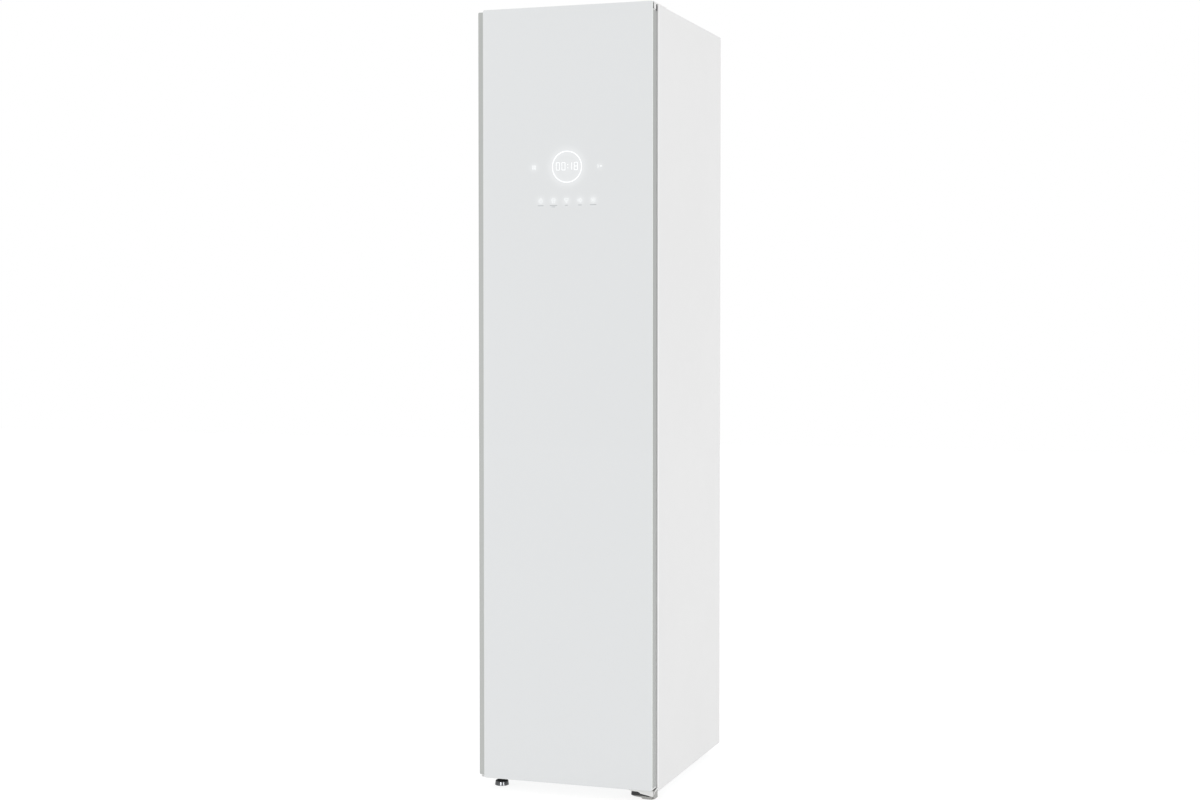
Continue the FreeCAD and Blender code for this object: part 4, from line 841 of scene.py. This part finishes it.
def add_ring(bm, centre, radius, width, start=0.0, end=2 * math.pi, steps=96):
    """A ring, or an arc of one, on the glass."""
    outer, inner = (arc(centre, radius + off, start, end, steps) for off in (width / 2, -width / 2))
    if end - start >= 2 * math.pi:
        add_frame(bm, outer[:-1], inner[:-1], SIGN_Y)
    else:
        add_prism(bm, outer + inner[::-1], SIGN_Y, "Y")


def add_dot(bm, centre, radius, steps):
    """A round dot on the glass."""
    add_ring(bm, centre, radius / 2, radius, steps=steps)


def add_digit(bm, value, centre, height):
    """One seven-bar digit."""
    w, h = height * DIGIT_WIDTH / 2, height / 2
    ends = {
        "a": ((-w, h), (w, h)), "b": ((w, h), (w, 0)), "c": ((w, 0), (w, -h)), "d": ((-w, -h), (w, -h)),
        "e": ((-w, -h), (-w, 0)), "f": ((-w, 0), (-w, h)), "g": ((-w, 0), (w, 0)),
    }
    for bar in DIGIT_BARS[value]:
        start, end = (Vector(p) + Vector(centre) for p in ends[bar])
        trim = (end - start).normalized() * (STROKE * BAR_GAP)
        add_stroke(bm, start + trim, end - trim, STROKE)


def add_sun(bm, centre):
    """A ring with rays."""
    add_ring(bm, centre, SUN_RADIUS * MM, SIGN_STROKE, steps=32)
    for turn in range(SUN_RAYS):
        angle = 2 * math.pi / SUN_RAYS * turn
        way = Vector((math.cos(angle), math.sin(angle)))
        start, end = (Vector(centre) + way * reach * MM for reach in SUN_RAY)
        add_stroke(bm, start, end, SIGN_STROKE)


class CABINET_OT_display(bpy.types.Operator):
    """Builds the lit signs and the printed marks on the door's glass"""

    bl_idname = "cabinet.display"
    bl_label = "Display"

    def execute(self, context):
        sizes = context.scene.cabinet_sizes
        x, z = DISPLAY

        def ring(bm):
            add_ring(bm, DISPLAY, sizes.ring / 2 - RING_STROKE / 2, RING_STROKE)

        def digits(bm):
            for figure, offset in zip(f"{sizes.minutes:04d}", DIGIT_OFFSETS):
                add_digit(bm, int(figure), (x + offset * MM, z + DIGIT_RISE * MM), sizes.digit)
            for rise in COLON_RISES:
                add_dot(bm, (x + COLON_OFFSET * MM, z + rise * MM), COLON_DOT * MM, 16)

        def side_signs(bm):
            low = z - SIDE_SIGN_DROP * MM
            left, right = (LEFT_SIGN_X, low), (RIGHT_SIGN_X, low)
            add_path(bm, drawn(SHELL, left), SHELL_STROKE * MM, closed=True)
            for start, end, width in SHELL_BARS:
                add_path(bm, drawn((start, end), left), width * MM)
            for radius in WAVE_RADII:
                add_ring(bm, right, radius * MM, SIGN_STROKE, *WAVE_ARC, 20)
            add_dot(bm, (RIGHT_SIGN_X + WAVE_DOT_OFFSET * MM, low), WAVE_DOT * MM, 24)
            add_path(bm, drawn(WAVE_BAR, right), SIGN_STROKE)

        def icons(bm):
            for icon_x, shape in zip(ICON_XS, ICON_SHAPES):
                here = (icon_x, ICON_ROW_Z)
                add_path(bm, drawn(shape, here), SIGN_STROKE, closed=True)
                add_path(bm, drawn(ICON_BAR, here), SIGN_STROKE)
            add_sun(bm, (ICON_XS[-1], ICON_ROW_Z))

        def captions(bm):
            lines = [(icon_x, CAPTION_Z, width) for icon_x, width in zip(ICON_XS, CAPTION_WIDTHS)]
            lines.append((ICON_XS[1], CAPTION_Z - SECOND_STEP * MM, SECOND_WIDTH))
            for middle, level, width in lines:
                half = width * MM / 2
                add_stroke(bm, (middle - half, level), (middle + half, level), CAPTION_STROKE)

        piece("display_ring", "door", "display", ring, "light")
        piece("display_digits", "door", "display", digits, "light")
        piece("display_side_signs", "door", "display", side_signs, "dim_light")
        piece("display_icons", "door", "display", icons, "dim_light")
        piece("display_captions", "door", "display", captions, "ink")
        return {"FINISHED"}


# ---------------------------------------------------------------- hinges and feet

NOSE_X, NOSE_Y, NOSE_Z = spans("lower_hinge")
CAP_X, CAP_Y = spans("door_top_cap")[:2]
CLEAR = 0.3 * MM
# The notch in the door's top cap: its left side and its floor, and the underside of the bracket over it
NOTCH_X, NOTCH_FLOOR, HOOD_BOTTOM = 172.0 * MM, 1833.5 * MM, 1847.0 * MM
# The pocket's side and floor with the hole for the pin, black as painted shade in the notch, and the boss
# under the bracket
POCKET_SIDE, POCKET_FLOOR, PIN_HOLE = mm_from(NOTCH_X, 0, 1.5), mm_from(NOTCH_FLOOR, 0, 0.5), 5 * MM
BOSS_X, BOSS_Y, BOSS_CORNER = mm_from(HINGE.x, -9, 7.5), mm_from(HINGE.y, -11, 8), 3 * MM
# Outlines round the lower hinge, in millimetres across from its axis and down from the glass, each with its
# place forward of the axis: the white cover, behind it a black sheet of painted shade, then the grey ledge
COVER_EDGE = (
    (-52, 0.6), (-43, 3.4), (-28.5, 3.9), (-24.3, 5.4), (-21.6, 8), (-14.6, 9.3), (-4.6, 10.8), (1.9, 12.6),
    (9.2, 13.3), (9.2, 0.6),
)
UNDER_DOOR_SHADE_EDGE = (
    (-42.4, 2), (-42.4, 12.5), (-37.2, 13.3), (-27.5, 13.4), (-20.2, 13.4), (-10.5, 13.3), (-5.7, 14.4),
    (-0.8, 14.5), (1.6, 14), (1.6, 2),
)
LEDGE_EDGE = (
    (-38, 12), (-38, 15.4), (-32, 16.2), (-22.6, 17), (-17.7, 17.4), (-15.6, 20.4), (-10, 20.8), (7, 20.8),
    (7, 12),
)
COVER_Y, UNDER_DOOR_SHADE_Y, LEDGE_Y = (mm_from(HINGE.y, *y) for y in ((-21, -19.5), (-19.4, -18.2), (-18.1, -17)))
# The cover's lid under the glass, the lip that runs on before the pin, and the strip down the bracket's end
COVER_TOP = GLASS_Z[0] - 2 * CLEAR
COVER_LID = (COVER_TOP - 1.2 * MM, COVER_TOP)
LID_X, LID_Y = mm_from(HINGE.x, -50, -9), (COVER_Y[1], HINGE.y + 9 * MM)
LIP_X, LIP_Y = (LID_X[1], HINGE.x + 6.5 * MM), (COVER_Y[1], HINGE.y - 6 * MM)
STRIP_X, STRIP_Y = mm_from(HINGE.x, 8, 9.2), (COVER_Y[1], NOSE_Y[0])
STRIP_LOW = GLASS_Z[0] - 13.3 * MM
# The rim on the bracket's cheek: the middle of its ellipse in Y and Z, half width, half height and thickness
RIM_MIDDLE = (BODY_FRONT - 4 * MM, 26.8 * MM)
RIM_WIDE, RIM_HIGH, RIM_THICK = 30 * MM, 10 * MM, 3.4 * MM
RIM_X = mm_from(NOSE_X[1], -0.2, 0.45)
# A black block between the bracket's block and the casing's floor: painted shade in the recess under the
# casing
SHADE_BLOCK_X, SHADE_BLOCK_Y = mm_from(HINGE.x, -49, -5), mm_from(BODY_FRONT, 12, 62)
SHADE_BLOCK_Z = (NOSE_Z[0] + 13 * MM, span("base_pan", 2)[0] - 0.1 * MM)
# Black patches on the top cap's end as painted shadow of its gaps, in millimetres back from the glass and
# down from its top
END_SHADOWS = (
    ((0, 3.3), (8, 3.3), (9.4, 15.4), (4.5, 15.4)),
    ((24, 5), (34.4, 5), (34.4, 18), (24, 18)),
)
END_SHADOWS_X = mm_from(CAP_X[1], -0.3, 0.5)

FOOT_NODES = ("foot_front_left", "foot_front_right", "foot_rear_left", "foot_rear_right")
# A foot's disc, in millimetres out from its rim and up, and how wide and high its bright rim is; the rest of
# the disc is black, partly painted shade on its top
FOOT_CROWN = (
    (-0.8, 0), (0, 0.8), (-0.3, 3), (-0.7, 6), (-1.1, 8.6), (-1.7, 10.2), (-2.6, 11.1), (-3.8, 11.5),
    (-4.6, 10.9),
)
BRIGHT_WIDE, BRIGHT_HIGH = 2.4 * MM, 10 * MM
# The hexagon collar on the disc, and the thread over it
COLLAR_RADIUS, COLLAR_Z = 7 * MM, (10.9 * MM, 25 * MM)
THREAD_CREST, THREAD_ROOT, THREAD_PITCH, THREAD_TOP = 4.9 * MM, 4.2 * MM, 1.5 * MM, 55 * MM


def below_glass(edge):
    """An outline round the lower hinge as points of the XZ plane."""
    return drawn(edge, (HINGE.x, GLASS_Z[0]), up=-1)


class CABINET_OT_hinges(bpy.types.Operator):
    """Builds the hinges' covers and the levelling feet"""

    bl_idname = "cabinet.hinges"
    bl_label = "Hinges and feet"

    def execute(self, context):
        def boss(bm):
            plan = rectangle(BOSS_X, BOSS_Y, BOSS_CORNER)
            add_prism(bm, plan, (NOTCH_FLOOR + 3 * CLEAR, HOOD_BOTTOM + CLEAR))

        # Black lining of the notch: painted shade
        def pocket(bm):
            y = inset(CAP_Y, CLEAR)
            add_box(bm, POCKET_SIDE, y, (NOTCH_FLOOR, HOOD_BOTTOM - CLEAR))
            floor = plate_with_hole((NOTCH_X, CAP_X[1] - CLEAR), y, (HINGE.x, HINGE.y), PIN_HOLE)
            add_frame(bm, *floor, POCKET_FLOOR, axis="Z")

        def cover(bm):
            add_prism(bm, below_glass(COVER_EDGE), COVER_Y, "Y")
            add_box(bm, LID_X, LID_Y, COVER_LID)
            add_box(bm, LIP_X, LIP_Y, COVER_LID)
            add_box(bm, STRIP_X, STRIP_Y, (STRIP_LOW, COVER_TOP))

        # Painted shade: a black sheet behind the cover, under the door
        def under_door_shade(bm):
            add_prism(bm, below_glass(UNDER_DOOR_SHADE_EDGE), UNDER_DOOR_SHADE_Y, "Y")

        def ledge(bm):
            add_prism(bm, below_glass(LEDGE_EDGE), LEDGE_Y, "Y")

        def rim(bm):
            outer = quarter_ellipse(RIM_MIDDLE, RIM_WIDE, RIM_HIGH)
            inner = quarter_ellipse(RIM_MIDDLE, RIM_WIDE - RIM_THICK, RIM_HIGH - RIM_THICK)
            add_prism(bm, outer + inner[::-1], RIM_X, "X")

        # Painted shadow: black patches on the cap's end
        def end_shadows(bm):
            for corners in END_SHADOWS:
                add_prism(bm, drawn(corners, (GLASS_Y[1], GLASS_Z[1]), up=-1), END_SHADOWS_X, "X")

        # Painted shade: a black block in the recess under the casing
        def shade_block(bm):
            add_box(bm, SHADE_BLOCK_X, SHADE_BLOCK_Y, SHADE_BLOCK_Z)

        piece("lower_hinge_shade_block", "cabinet", "black_plastic", shade_block, "black", bevel=0.4 * MM)
        piece("upper_hinge_boss", "cabinet", "white_moulding", boss, "moulding", bevel=0.6 * MM)
        piece("hinge_pocket_painted_shade", "door", "black_plastic", pocket, "black")
        piece("lower_hinge_cover", "cabinet", "white_moulding", cover, "moulding", bevel=0.4 * MM)
        # The black sheet is painted shade under the door
        piece("lower_hinge_painted_shade", "cabinet", "black_plastic", under_door_shade, "black")
        piece("lower_hinge_ledge", "cabinet", "zinc_steel", ledge, "zinc")
        piece("lower_hinge_rim", "cabinet", "white_moulding", rim, "moulding")
        piece("cap_end_painted_shadows", "door", "black_plastic", end_shadows, "black")
        for name in FOOT_NODES:
            self.foot(name)
        return {"FINISHED"}

    def foot(self, name):
        """A disc with a glossy rim and a black dished top, partly painted shade under the door, a hexagon
        collar and a threaded stud.
        """
        x, y = spans(name)[:2]
        centre = (sum(x) / 2, sum(y) / 2)
        radius = (x[1] - x[0]) / 2

        def pad(bm):
            crown = drawn(FOOT_CROWN, (radius, 0))
            add_revolved(bm, [(TIP, crown[0][1]), *crown, (TIP, crown[-1][1])], centre)
            for face in bm.faces:
                middle = face.calc_center_median()
                away = math.hypot(middle.x - centre[0], middle.y - centre[1])
                bright = away > radius - BRIGHT_WIDE and middle.z < BRIGHT_HIGH
                # Inside and above the bright rim the disc is black rubber: partly painted shade on its top
                face.material_index = int(not bright)

        def stem(bm):
            add_prism(bm, [around(centre, COLLAR_RADIUS, math.pi / 3 * i) for i in range(6)], COLLAR_Z)
            start = level = COLLAR_Z[1]
            thread = []
            while level < THREAD_TOP:
                thread += [(THREAD_CREST, level), (THREAD_ROOT, level + THREAD_PITCH / 2)]
                level += THREAD_PITCH
            add_revolved(bm, [(TIP, start), *thread, (TIP, level)], centre, segments=24)

        piece(f"{name}_pad", name, "black_plastic", pad, "plated", "rubber", replaces=(name,))
        piece(f"{name}_stem", name, "black_plastic", stem, "rubber", replaces=(name,), bevel=0.3 * MM)


# ---------------------------------------------------------------- back, seal and inside

BACK_Y = span("rear_panel", 1)[1]
SCREW_XS = (-206 * MM, 206 * MM)
SCREW_ZS = tuple(z * MM for z in (90, 300, 400, 880, 1340, 1800))
# A screw's head by (radius, rise), in millimetres; its cross recess by half width and arm, mouth and floor
SCREW_HEAD = ((1.9, -1.2), (1.9, 0), (4, 0), (4, 0.3), (3.5, 0.8), (2.5, 1.1))
CROSS_HALF, CROSS_ARM = 0.45 * MM, 1.9 * MM
CROSS_MOUTH, CROSS_FLOOR, CROSS_TAPER = 1.15 * MM, 0.3 * MM, 0.8
SCREW_TURNS = [q * math.pi / 2 + math.radians(a) for q in range(4) for a in (0, 13.3, 29, 45, 61, 76.7)]
LOUVRE_XS = ((-170 * MM, -20 * MM), (20 * MM, 170 * MM))
LOUVRE_ZS = tuple((115 + 16 * row) * MM for row in range(9))
# A louvre's hood from its side, in millimetres back and up
HOOD_SIDE = ((-0.2, 5), (1.1, 0.8), (1.1, -1), (0.5, -1), (-0.2, 0.6))
# Ribs by (half width, rise) in millimetres, foot first, and where they stand
BACK_RIB = ((8, -0.7), (6.5, -0.1), (4, 0.55), (2, 0.7))
BACK_RIB_XS = (-96 * MM, 0, 96 * MM)
BACK_RIB_ZS = ((490 * MM, 1000 * MM), (1190 * MM, 1700 * MM))


def cross_radius(turn):
    """How far a cross-shaped driver recess reaches in a direction."""
    across, along = sorted((abs(math.sin(turn)), abs(math.cos(turn))))
    return min(CROSS_ARM / along, CROSS_HALF / across) if across > 1e-6 else CROSS_ARM


class CABINET_OT_back(bpy.types.Operator):
    """Builds the back's screws, louvre hoods and pressed ribs"""

    bl_idname = "cabinet.back"
    bl_label = "Back"

    def execute(self, context):
        def screws(bm):
            recess = [cross_radius(turn) for turn in SCREW_TURNS]
            rings = [([r * MM] * len(SCREW_TURNS), rise * MM) for r, rise in SCREW_HEAD]
            rings += [(recess, CROSS_MOUTH), ([CROSS_TAPER * r for r in recess], CROSS_FLOOR)]
            for x in SCREW_XS:
                for z in SCREW_ZS:
                    loops = []
                    for radii, rise in rings:
                        points = [around((x, z), r, turn) for r, turn in zip(radii, SCREW_TURNS)]
                        loops.append([at("Y", u, v, BACK_Y + rise) for u, v in points])
                    add_loops(bm, loops)

        def hoods(bm):
            for x in LOUVRE_XS:
                for z in LOUVRE_ZS:
                    add_prism(bm, drawn(HOOD_SIDE, (BACK_Y, z)), x, "X")

        def ribs(bm):
            for z in BACK_RIB_ZS:
                for x in BACK_RIB_XS:
                    add_rib(bm, x, z, BACK_Y, BACK_RIB, steps=6)

        head = {"replaces": ("casing_screws",), "smooth_angle": 50}
        piece("cross_recess_screws", "cabinet", "screw_steel", screws, "steel", **head)
        piece("louvre_hoods", "cabinet", "zinc_steel", hoods, "galvanised")
        piece("back_panel_ribs", "cabinet", "zinc_steel", ribs, "galvanised", smooth_angle=60)
        return {"FINISHED"}


# One side of the seal's section: out from its middle as a share of its half width, up as a share of its depth
SEAL_SIDE = ((1, 0), (1, 0.16), (0.74, 0.26), (0.96, 0.42), (0.74, 0.56), (0.9, 0.7), (0.9, 0.94), (0.8, 1))
SEAL_CORNER = 14 * MM


class CABINET_OT_seal(bpy.types.Operator):
    """Builds the door's magnetic seal with its bellows"""

    bl_idname = "cabinet.seal"
    bl_label = "Seal"

    def execute(self, context):
        x, y, z = spans("door_gasket")
        half, depth = context.scene.cabinet_sizes.seal / 2, y[1] - y[0]
        section = [(half * (out - 1), depth * up) for out, up in SEAL_SIDE]
        section += [(half * (-out - 1), depth * up) for out, up in SEAL_SIDE[::-1]]

        def seal(bm):
            add_swept_rectangle(bm, section, x, z, SEAL_CORNER, y[0])

        piece("bellows_seal", "door", "white_seal", seal, "seal", replaces=("door_gasket",), smooth_angle=60)
        return {"FINISHED"}


# Ribs by (half width, rise) in millimetres, foot first, and where they stand: on the press and in the chamber
PRESS_REAR = -227 * MM
PRESS_RIB = ((2.6, -4), (2.4, -2.9), (1.4, -2.1), (0.6, -1.9))
PRESS_RIB_XS = [(-97 + 14.6 * i) * MM for i in range(14)]
PRESS_RIB_Z = (600 * MM, 1440 * MM)
CHAMBER_BACK_Y = span("chamber_back_wall", 1)[0]
CHAMBER_RIB = ((6, 1.2), (5.4, 0.3), (3.6, -0.5), (1.6, -0.7))
CHAMBER_RIB_XS = [i * 27 * MM for i in range(-4, 5)]
CHAMBER_RIB_Z = (600 * MM, 1620 * MM)
TANK_MIDDLES = {"drain_tank": 88 * MM, "fresh_tank": -88 * MM}
# A tank's cap by (radius, rise) in millimetres, and how far it lies behind the tank's front
TANK_CAP = ((22.2, -7.6), (23, -7), (23, -1.4), (22, -0.2), (20, 0.3), (8, 0.3), (7, -0.4))
TANK_CAP_BACK = 115.5 * MM
FLUTES, FLUTE_DEPTH = 30, 0.02
# A tank's grip, in millimetres across from its middle, down from its top and back from its front
GRIP_X, GRIP_Z, GRIP_Y = (-46, 46), (-68, -34), (-0.5, 3)
# The frame round the grip: how far its outline lies out and its hole in, and their corners
GRIP_OUT, GRIP_OUT_CORNER, GRIP_IN, GRIP_IN_CORNER = 3.5 * MM, 11 * MM, 0.4 * MM, 8 * MM
# A tank's level lines by height and half length, in millimetres, and their stroke, corners and thickness
LEVEL_LINES = ((100, 9), (140, 6), (180, 9))
LINE_STROKE, LINE_CORNER, LINE_Y = 1.6, 0.7 * MM, (-0.4, 0.2)
# The frame round the lamp: how far its outline and its hole lie outside the lamp, and their corners
LAMP_OUT, LAMP_OUT_CORNER, LAMP_GAP, LAMP_GAP_CORNER = 7 * MM, 9 * MM, 0.3 * MM, 3 * MM


def fluted(turn):
    """How a cap's radius varies with the angle."""
    return 1.0 + FLUTE_DEPTH * math.cos(FLUTES * turn)


class CABINET_OT_inside(bpy.types.Operator):
    """Builds the tanks' trims, the press's ribbed face and the chamber's ribs and lamp frame"""

    bl_idname = "cabinet.inside"
    bl_label = "Inside"

    def execute(self, context):
        for name, middle in TANK_MIDDLES.items():
            self.tank(name, middle)

        def press_face(bm):
            for x in PRESS_RIB_XS:
                add_rib(bm, x, PRESS_RIB_Z, PRESS_REAR, PRESS_RIB, grow=0)

        def back_ribs(bm):
            for x in CHAMBER_RIB_XS:
                add_rib(bm, x, CHAMBER_RIB_Z, CHAMBER_BACK_Y, CHAMBER_RIB)

        def lamp_frame(bm):
            x, y, z = spans("chamber_lamp")
            outer = rectangle(inset(x, -LAMP_OUT), inset(y, -LAMP_OUT), LAMP_OUT_CORNER)
            inner = rectangle(inset(x, -LAMP_GAP), inset(y, -LAMP_GAP), LAMP_GAP_CORNER)
            add_frame(bm, outer, inner, (z[0] + 2.5 * MM, z[1] - 0.2 * MM), "Z")

        piece("press_face_ribs", "press", "grey_plastic", press_face, "trim", smooth_angle=60)
        piece("chamber_back_ribs", "cabinet", "liner_plastic", back_ribs, "liner", smooth_angle=60)
        piece("lamp_frame", "cabinet", "liner_plastic", lamp_frame, "liner", bevel=0.8 * MM)
        return {"FINISHED"}

    def tank(self, name, middle):
        """A fluted cap, a frame round the grip and three level lines on one tank."""
        front, top = BODY_FRONT + 0.5 * MM, span(name, 2)[1]

        def cap(bm):
            profile = drawn(TANK_CAP, (0, top))
            profile.append((TIP, profile[-1][1]))
            add_revolved(bm, profile, (middle, front + TANK_CAP_BACK), segments=180, wave=fluted)

        def trims(bm):
            x, z = mm_from(middle, *GRIP_X), mm_from(top, *GRIP_Z)
            outer = rectangle(inset(x, -GRIP_OUT), inset(z, -GRIP_OUT), GRIP_OUT_CORNER)
            inner = rectangle(inset(x, GRIP_IN), inset(z, GRIP_IN), GRIP_IN_CORNER)
            add_frame(bm, outer, inner, mm_from(front, *GRIP_Y))
            for level, half in LEVEL_LINES:
                z = mm_from(0, level, level + LINE_STROKE)
                mark = rectangle(mm_from(middle, -half, half), z, LINE_CORNER)
                add_prism(bm, mark, mm_from(front, *LINE_Y), "Y")

        piece(f"{name}_cap", name, "tank_plastic", cap, "tank_trim", smooth_angle=50)
        piece(f"{name}_trims", name, "tank_plastic", trims, "tank_trim", bevel=0.3 * MM)


# ---------------------------------------------------------------- stage

CAMERA_AT = Vector((1.504151, -4.406563, 1.121356))
CAMERA_YAW, CAMERA_PITCH = math.radians(18.9155), math.radians(-1.7176)
LENS, SENSOR, SHIFT_Y = 56.49, 36.0, -0.01902
CLIP_END = 100.0
WORLD_LIGHT = 0.86
FLOOR_HALF = 12.0
# The floor's diffuse grey and its own light: as it lights the part, and as it is seen
FLOOR_LIT, FLOOR_SEEN = (0.35, 0.45), (0.3, 0.84)
# Area lamps: name, place, width and height in metres, watts, height aimed at
FRONT_PLACE, SIDE_PLACE = (-4.4, -3.4, 1.3), (4.6, -0.4, 1.3)
BOX_SIZE, BOX_AIM = (2.4, 3.12), 0.95
BOXES = (
    ("front_box", FRONT_PLACE, BOX_SIZE, 42, BOX_AIM),
    ("side_box", SIDE_PLACE, BOX_SIZE, 36, BOX_AIM),
)
SHEEN = ("front_sheen", FRONT_PLACE, BOX_SIZE, 40, BOX_AIM)
STRIP_SIZE, STRIP_HEIGHT = (0.7, 1.6), 0.82
GLINTS = (
    ("left_strip", (-0.05, -4.17, STRIP_HEIGHT), STRIP_SIZE, 80, STRIP_HEIGHT),
    ("right_strip", (2.88, -2.72, STRIP_HEIGHT), STRIP_SIZE, 62, STRIP_HEIGHT),
)


class CABINET_OT_stage(bpy.types.Operator):
    """Sets the floor, the light and the camera"""

    bl_idname = "cabinet.stage"
    bl_label = "Stage"

    def execute(self, context):
        scene = context.scene
        scene.view_settings.view_transform = "Standard"
        self.floor()
        self.world(scene)
        self.lamps()
        self.camera(scene)
        return {"FINISHED"}

    def floor(self):
        """A pale floor: white to the camera with a faint contact shadow, and as bright as the walls below."""
        mesh = bpy.data.meshes.new("floor")
        half = FLOOR_HALF
        corners = [(-half, -half, 0), (half, -half, 0), (half, half, 0), (-half, half, 0)]
        mesh.from_pydata(corners, [], [(0, 1, 2, 3)])
        material = bpy.data.materials.new("studio_floor")
        material.use_nodes = True
        tree = material.node_tree
        tree.nodes.clear()
        seen = self.seen(tree)
        lit, white = (self.paper(tree, *values) for values in (FLOOR_LIT, FLOOR_SEEN))
        mix = add(tree, "ShaderNodeMixShader", {0: seen, 1: lit, 2: white})
        add(tree, "ShaderNodeOutputMaterial", {"Surface": mix.outputs[0]})
        mesh.materials.append(material)
        floor = bpy.data.objects.new("floor", mesh)
        bpy.context.scene.collection.objects.link(floor)

    def paper(self, tree, diffuse, lift):
        """A matt surface with some light of its own."""
        plain = add(tree, "ShaderNodeBsdfDiffuse", {"Color": (diffuse, diffuse, diffuse, 1)})
        light = add(tree, "ShaderNodeEmission", {"Color": (1, 1, 1, 1), "Strength": lift})
        return add(tree, "ShaderNodeAddShader", {0: plain.outputs[0], 1: light.outputs[0]}).outputs[0]

    def seen(self, tree):
        """One where a ray comes from the camera, a mirror surface or through glass, else nothing."""
        path = add(tree, "ShaderNodeLightPath")
        rays = [path.outputs[name] for name in ("Is Camera Ray", "Is Glossy Ray", "Is Transmission Ray")]
        first = add(tree, "ShaderNodeMath", {0: rays[0], 1: rays[1]}, operation="MAXIMUM").outputs[0]
        return add(tree, "ShaderNodeMath", {0: first, 1: rays[2]}, operation="MAXIMUM").outputs[0]

    def world(self, scene):
        """Even studio light, seen as white by the camera and in reflections."""
        world = bpy.data.worlds.new("studio")
        scene.world = world
        world.use_nodes = True
        tree = world.node_tree
        tree.nodes.clear()
        light = add(tree, "ShaderNodeBackground", {"Color": (1, 1, 1, 1), "Strength": WORLD_LIGHT})
        white = add(tree, "ShaderNodeBackground", {"Color": (1, 1, 1, 1), "Strength": 1.0})
        mix = add(tree, "ShaderNodeMixShader", {0: self.seen(tree), 1: light.outputs[0], 2: white.outputs[0]})
        add(tree, "ShaderNodeOutputWorld", {"Surface": mix.outputs[0]})

    def lamps(self):
        """Two soft boxes give the even light; the rest only shine, on all but the glass or on the feet."""
        for settings in BOXES:
            self.lamp(*settings).visible_glossy = False
        meshes = [obj for obj in bpy.context.scene.objects if obj.type == "MESH"]
        self.link_to(self.lamp(*SHEEN), [obj for obj in meshes if obj.name not in ("glass_pane", "floor")])
        for settings in GLINTS:
            self.link_to(self.lamp(*settings), [bpy.data.objects[f"{name}_pad"] for name in FOOT_NODES])

    def lamp(self, name, place, size, watts, height):
        """An area lamp that faces the cabinet's axis."""
        light = bpy.data.lights.new(name, "AREA")
        light.shape = "RECTANGLE"
        light.size, light.size_y = size
        light.energy = watts
        obj = bpy.data.objects.new(name, light)
        obj.location = place
        obj.rotation_mode = "QUATERNION"
        obj.rotation_quaternion = (Vector((0, 0, height)) - Vector(place)).to_track_quat("-Z", "Y")
        bpy.context.scene.collection.objects.link(obj)
        return obj

    def link_to(self, lamp, receivers):
        """Lets a lamp add only shine, and only to some pieces."""
        lamp.visible_diffuse = False
        group = bpy.data.collections.new(f"{lamp.name}_receivers")
        for obj in receivers:
            group.objects.link(obj)
        lamp.light_linking.receiver_collection = group

    def camera(self, scene):
        """The camera, with its lens and a slight vertical shift."""
        data = bpy.data.cameras.new("camera")
        data.sensor_width = SENSOR
        data.lens = LENS
        data.shift_y = SHIFT_Y
        data.clip_end = CLIP_END
        camera = bpy.data.objects.new("camera", data)
        camera.location = CAMERA_AT
        camera.rotation_euler = (math.pi / 2 + CAMERA_PITCH, 0, CAMERA_YAW)
        scene.collection.objects.link(camera)
        scene.camera = camera


# ---------------------------------------------------------------- panel and running

OPERATORS = (
    CABINET_OT_finishes,
    CABINET_OT_casing,
    CABINET_OT_door_glass,
    CABINET_OT_display,
    CABINET_OT_hinges,
    CABINET_OT_back,
    CABINET_OT_seal,
    CABINET_OT_inside,
    CABINET_OT_stage,
)


class CABINET_PT_panel(bpy.types.Panel):
    """Lists the cabinet's steps and settings"""

    bl_idname = "CABINET_PT_panel"
    bl_label = "Steam Cabinet"
    bl_space_type = "VIEW_3D"
    bl_region_type = "UI"
    bl_category = "Cabinet"

    def draw(self, context):
        for operator in OPERATORS:
            self.layout.operator(operator.bl_idname)
        for group in (context.scene.cabinet_finish, context.scene.cabinet_sizes):
            for name in group.__annotations__:
                self.layout.prop(group, name)


CLASSES = (CabinetFinish, CabinetSizes, *OPERATORS, CABINET_PT_panel)


def register():
    for cls in CLASSES:
        bpy.utils.register_class(cls)
    bpy.types.Scene.cabinet_finish = bpy.props.PointerProperty(type=CabinetFinish)
    bpy.types.Scene.cabinet_sizes = bpy.props.PointerProperty(type=CabinetSizes)


def unregister():
    del bpy.types.Scene.cabinet_sizes
    del bpy.types.Scene.cabinet_finish
    for cls in reversed(CLASSES):
        bpy.utils.unregister_class(cls)


def main():
    register()
    for operator in OPERATORS:
        group, name = operator.bl_idname.split(".")
        getattr(getattr(bpy.ops, group), name)()


if __name__ == "__main__":
    main()
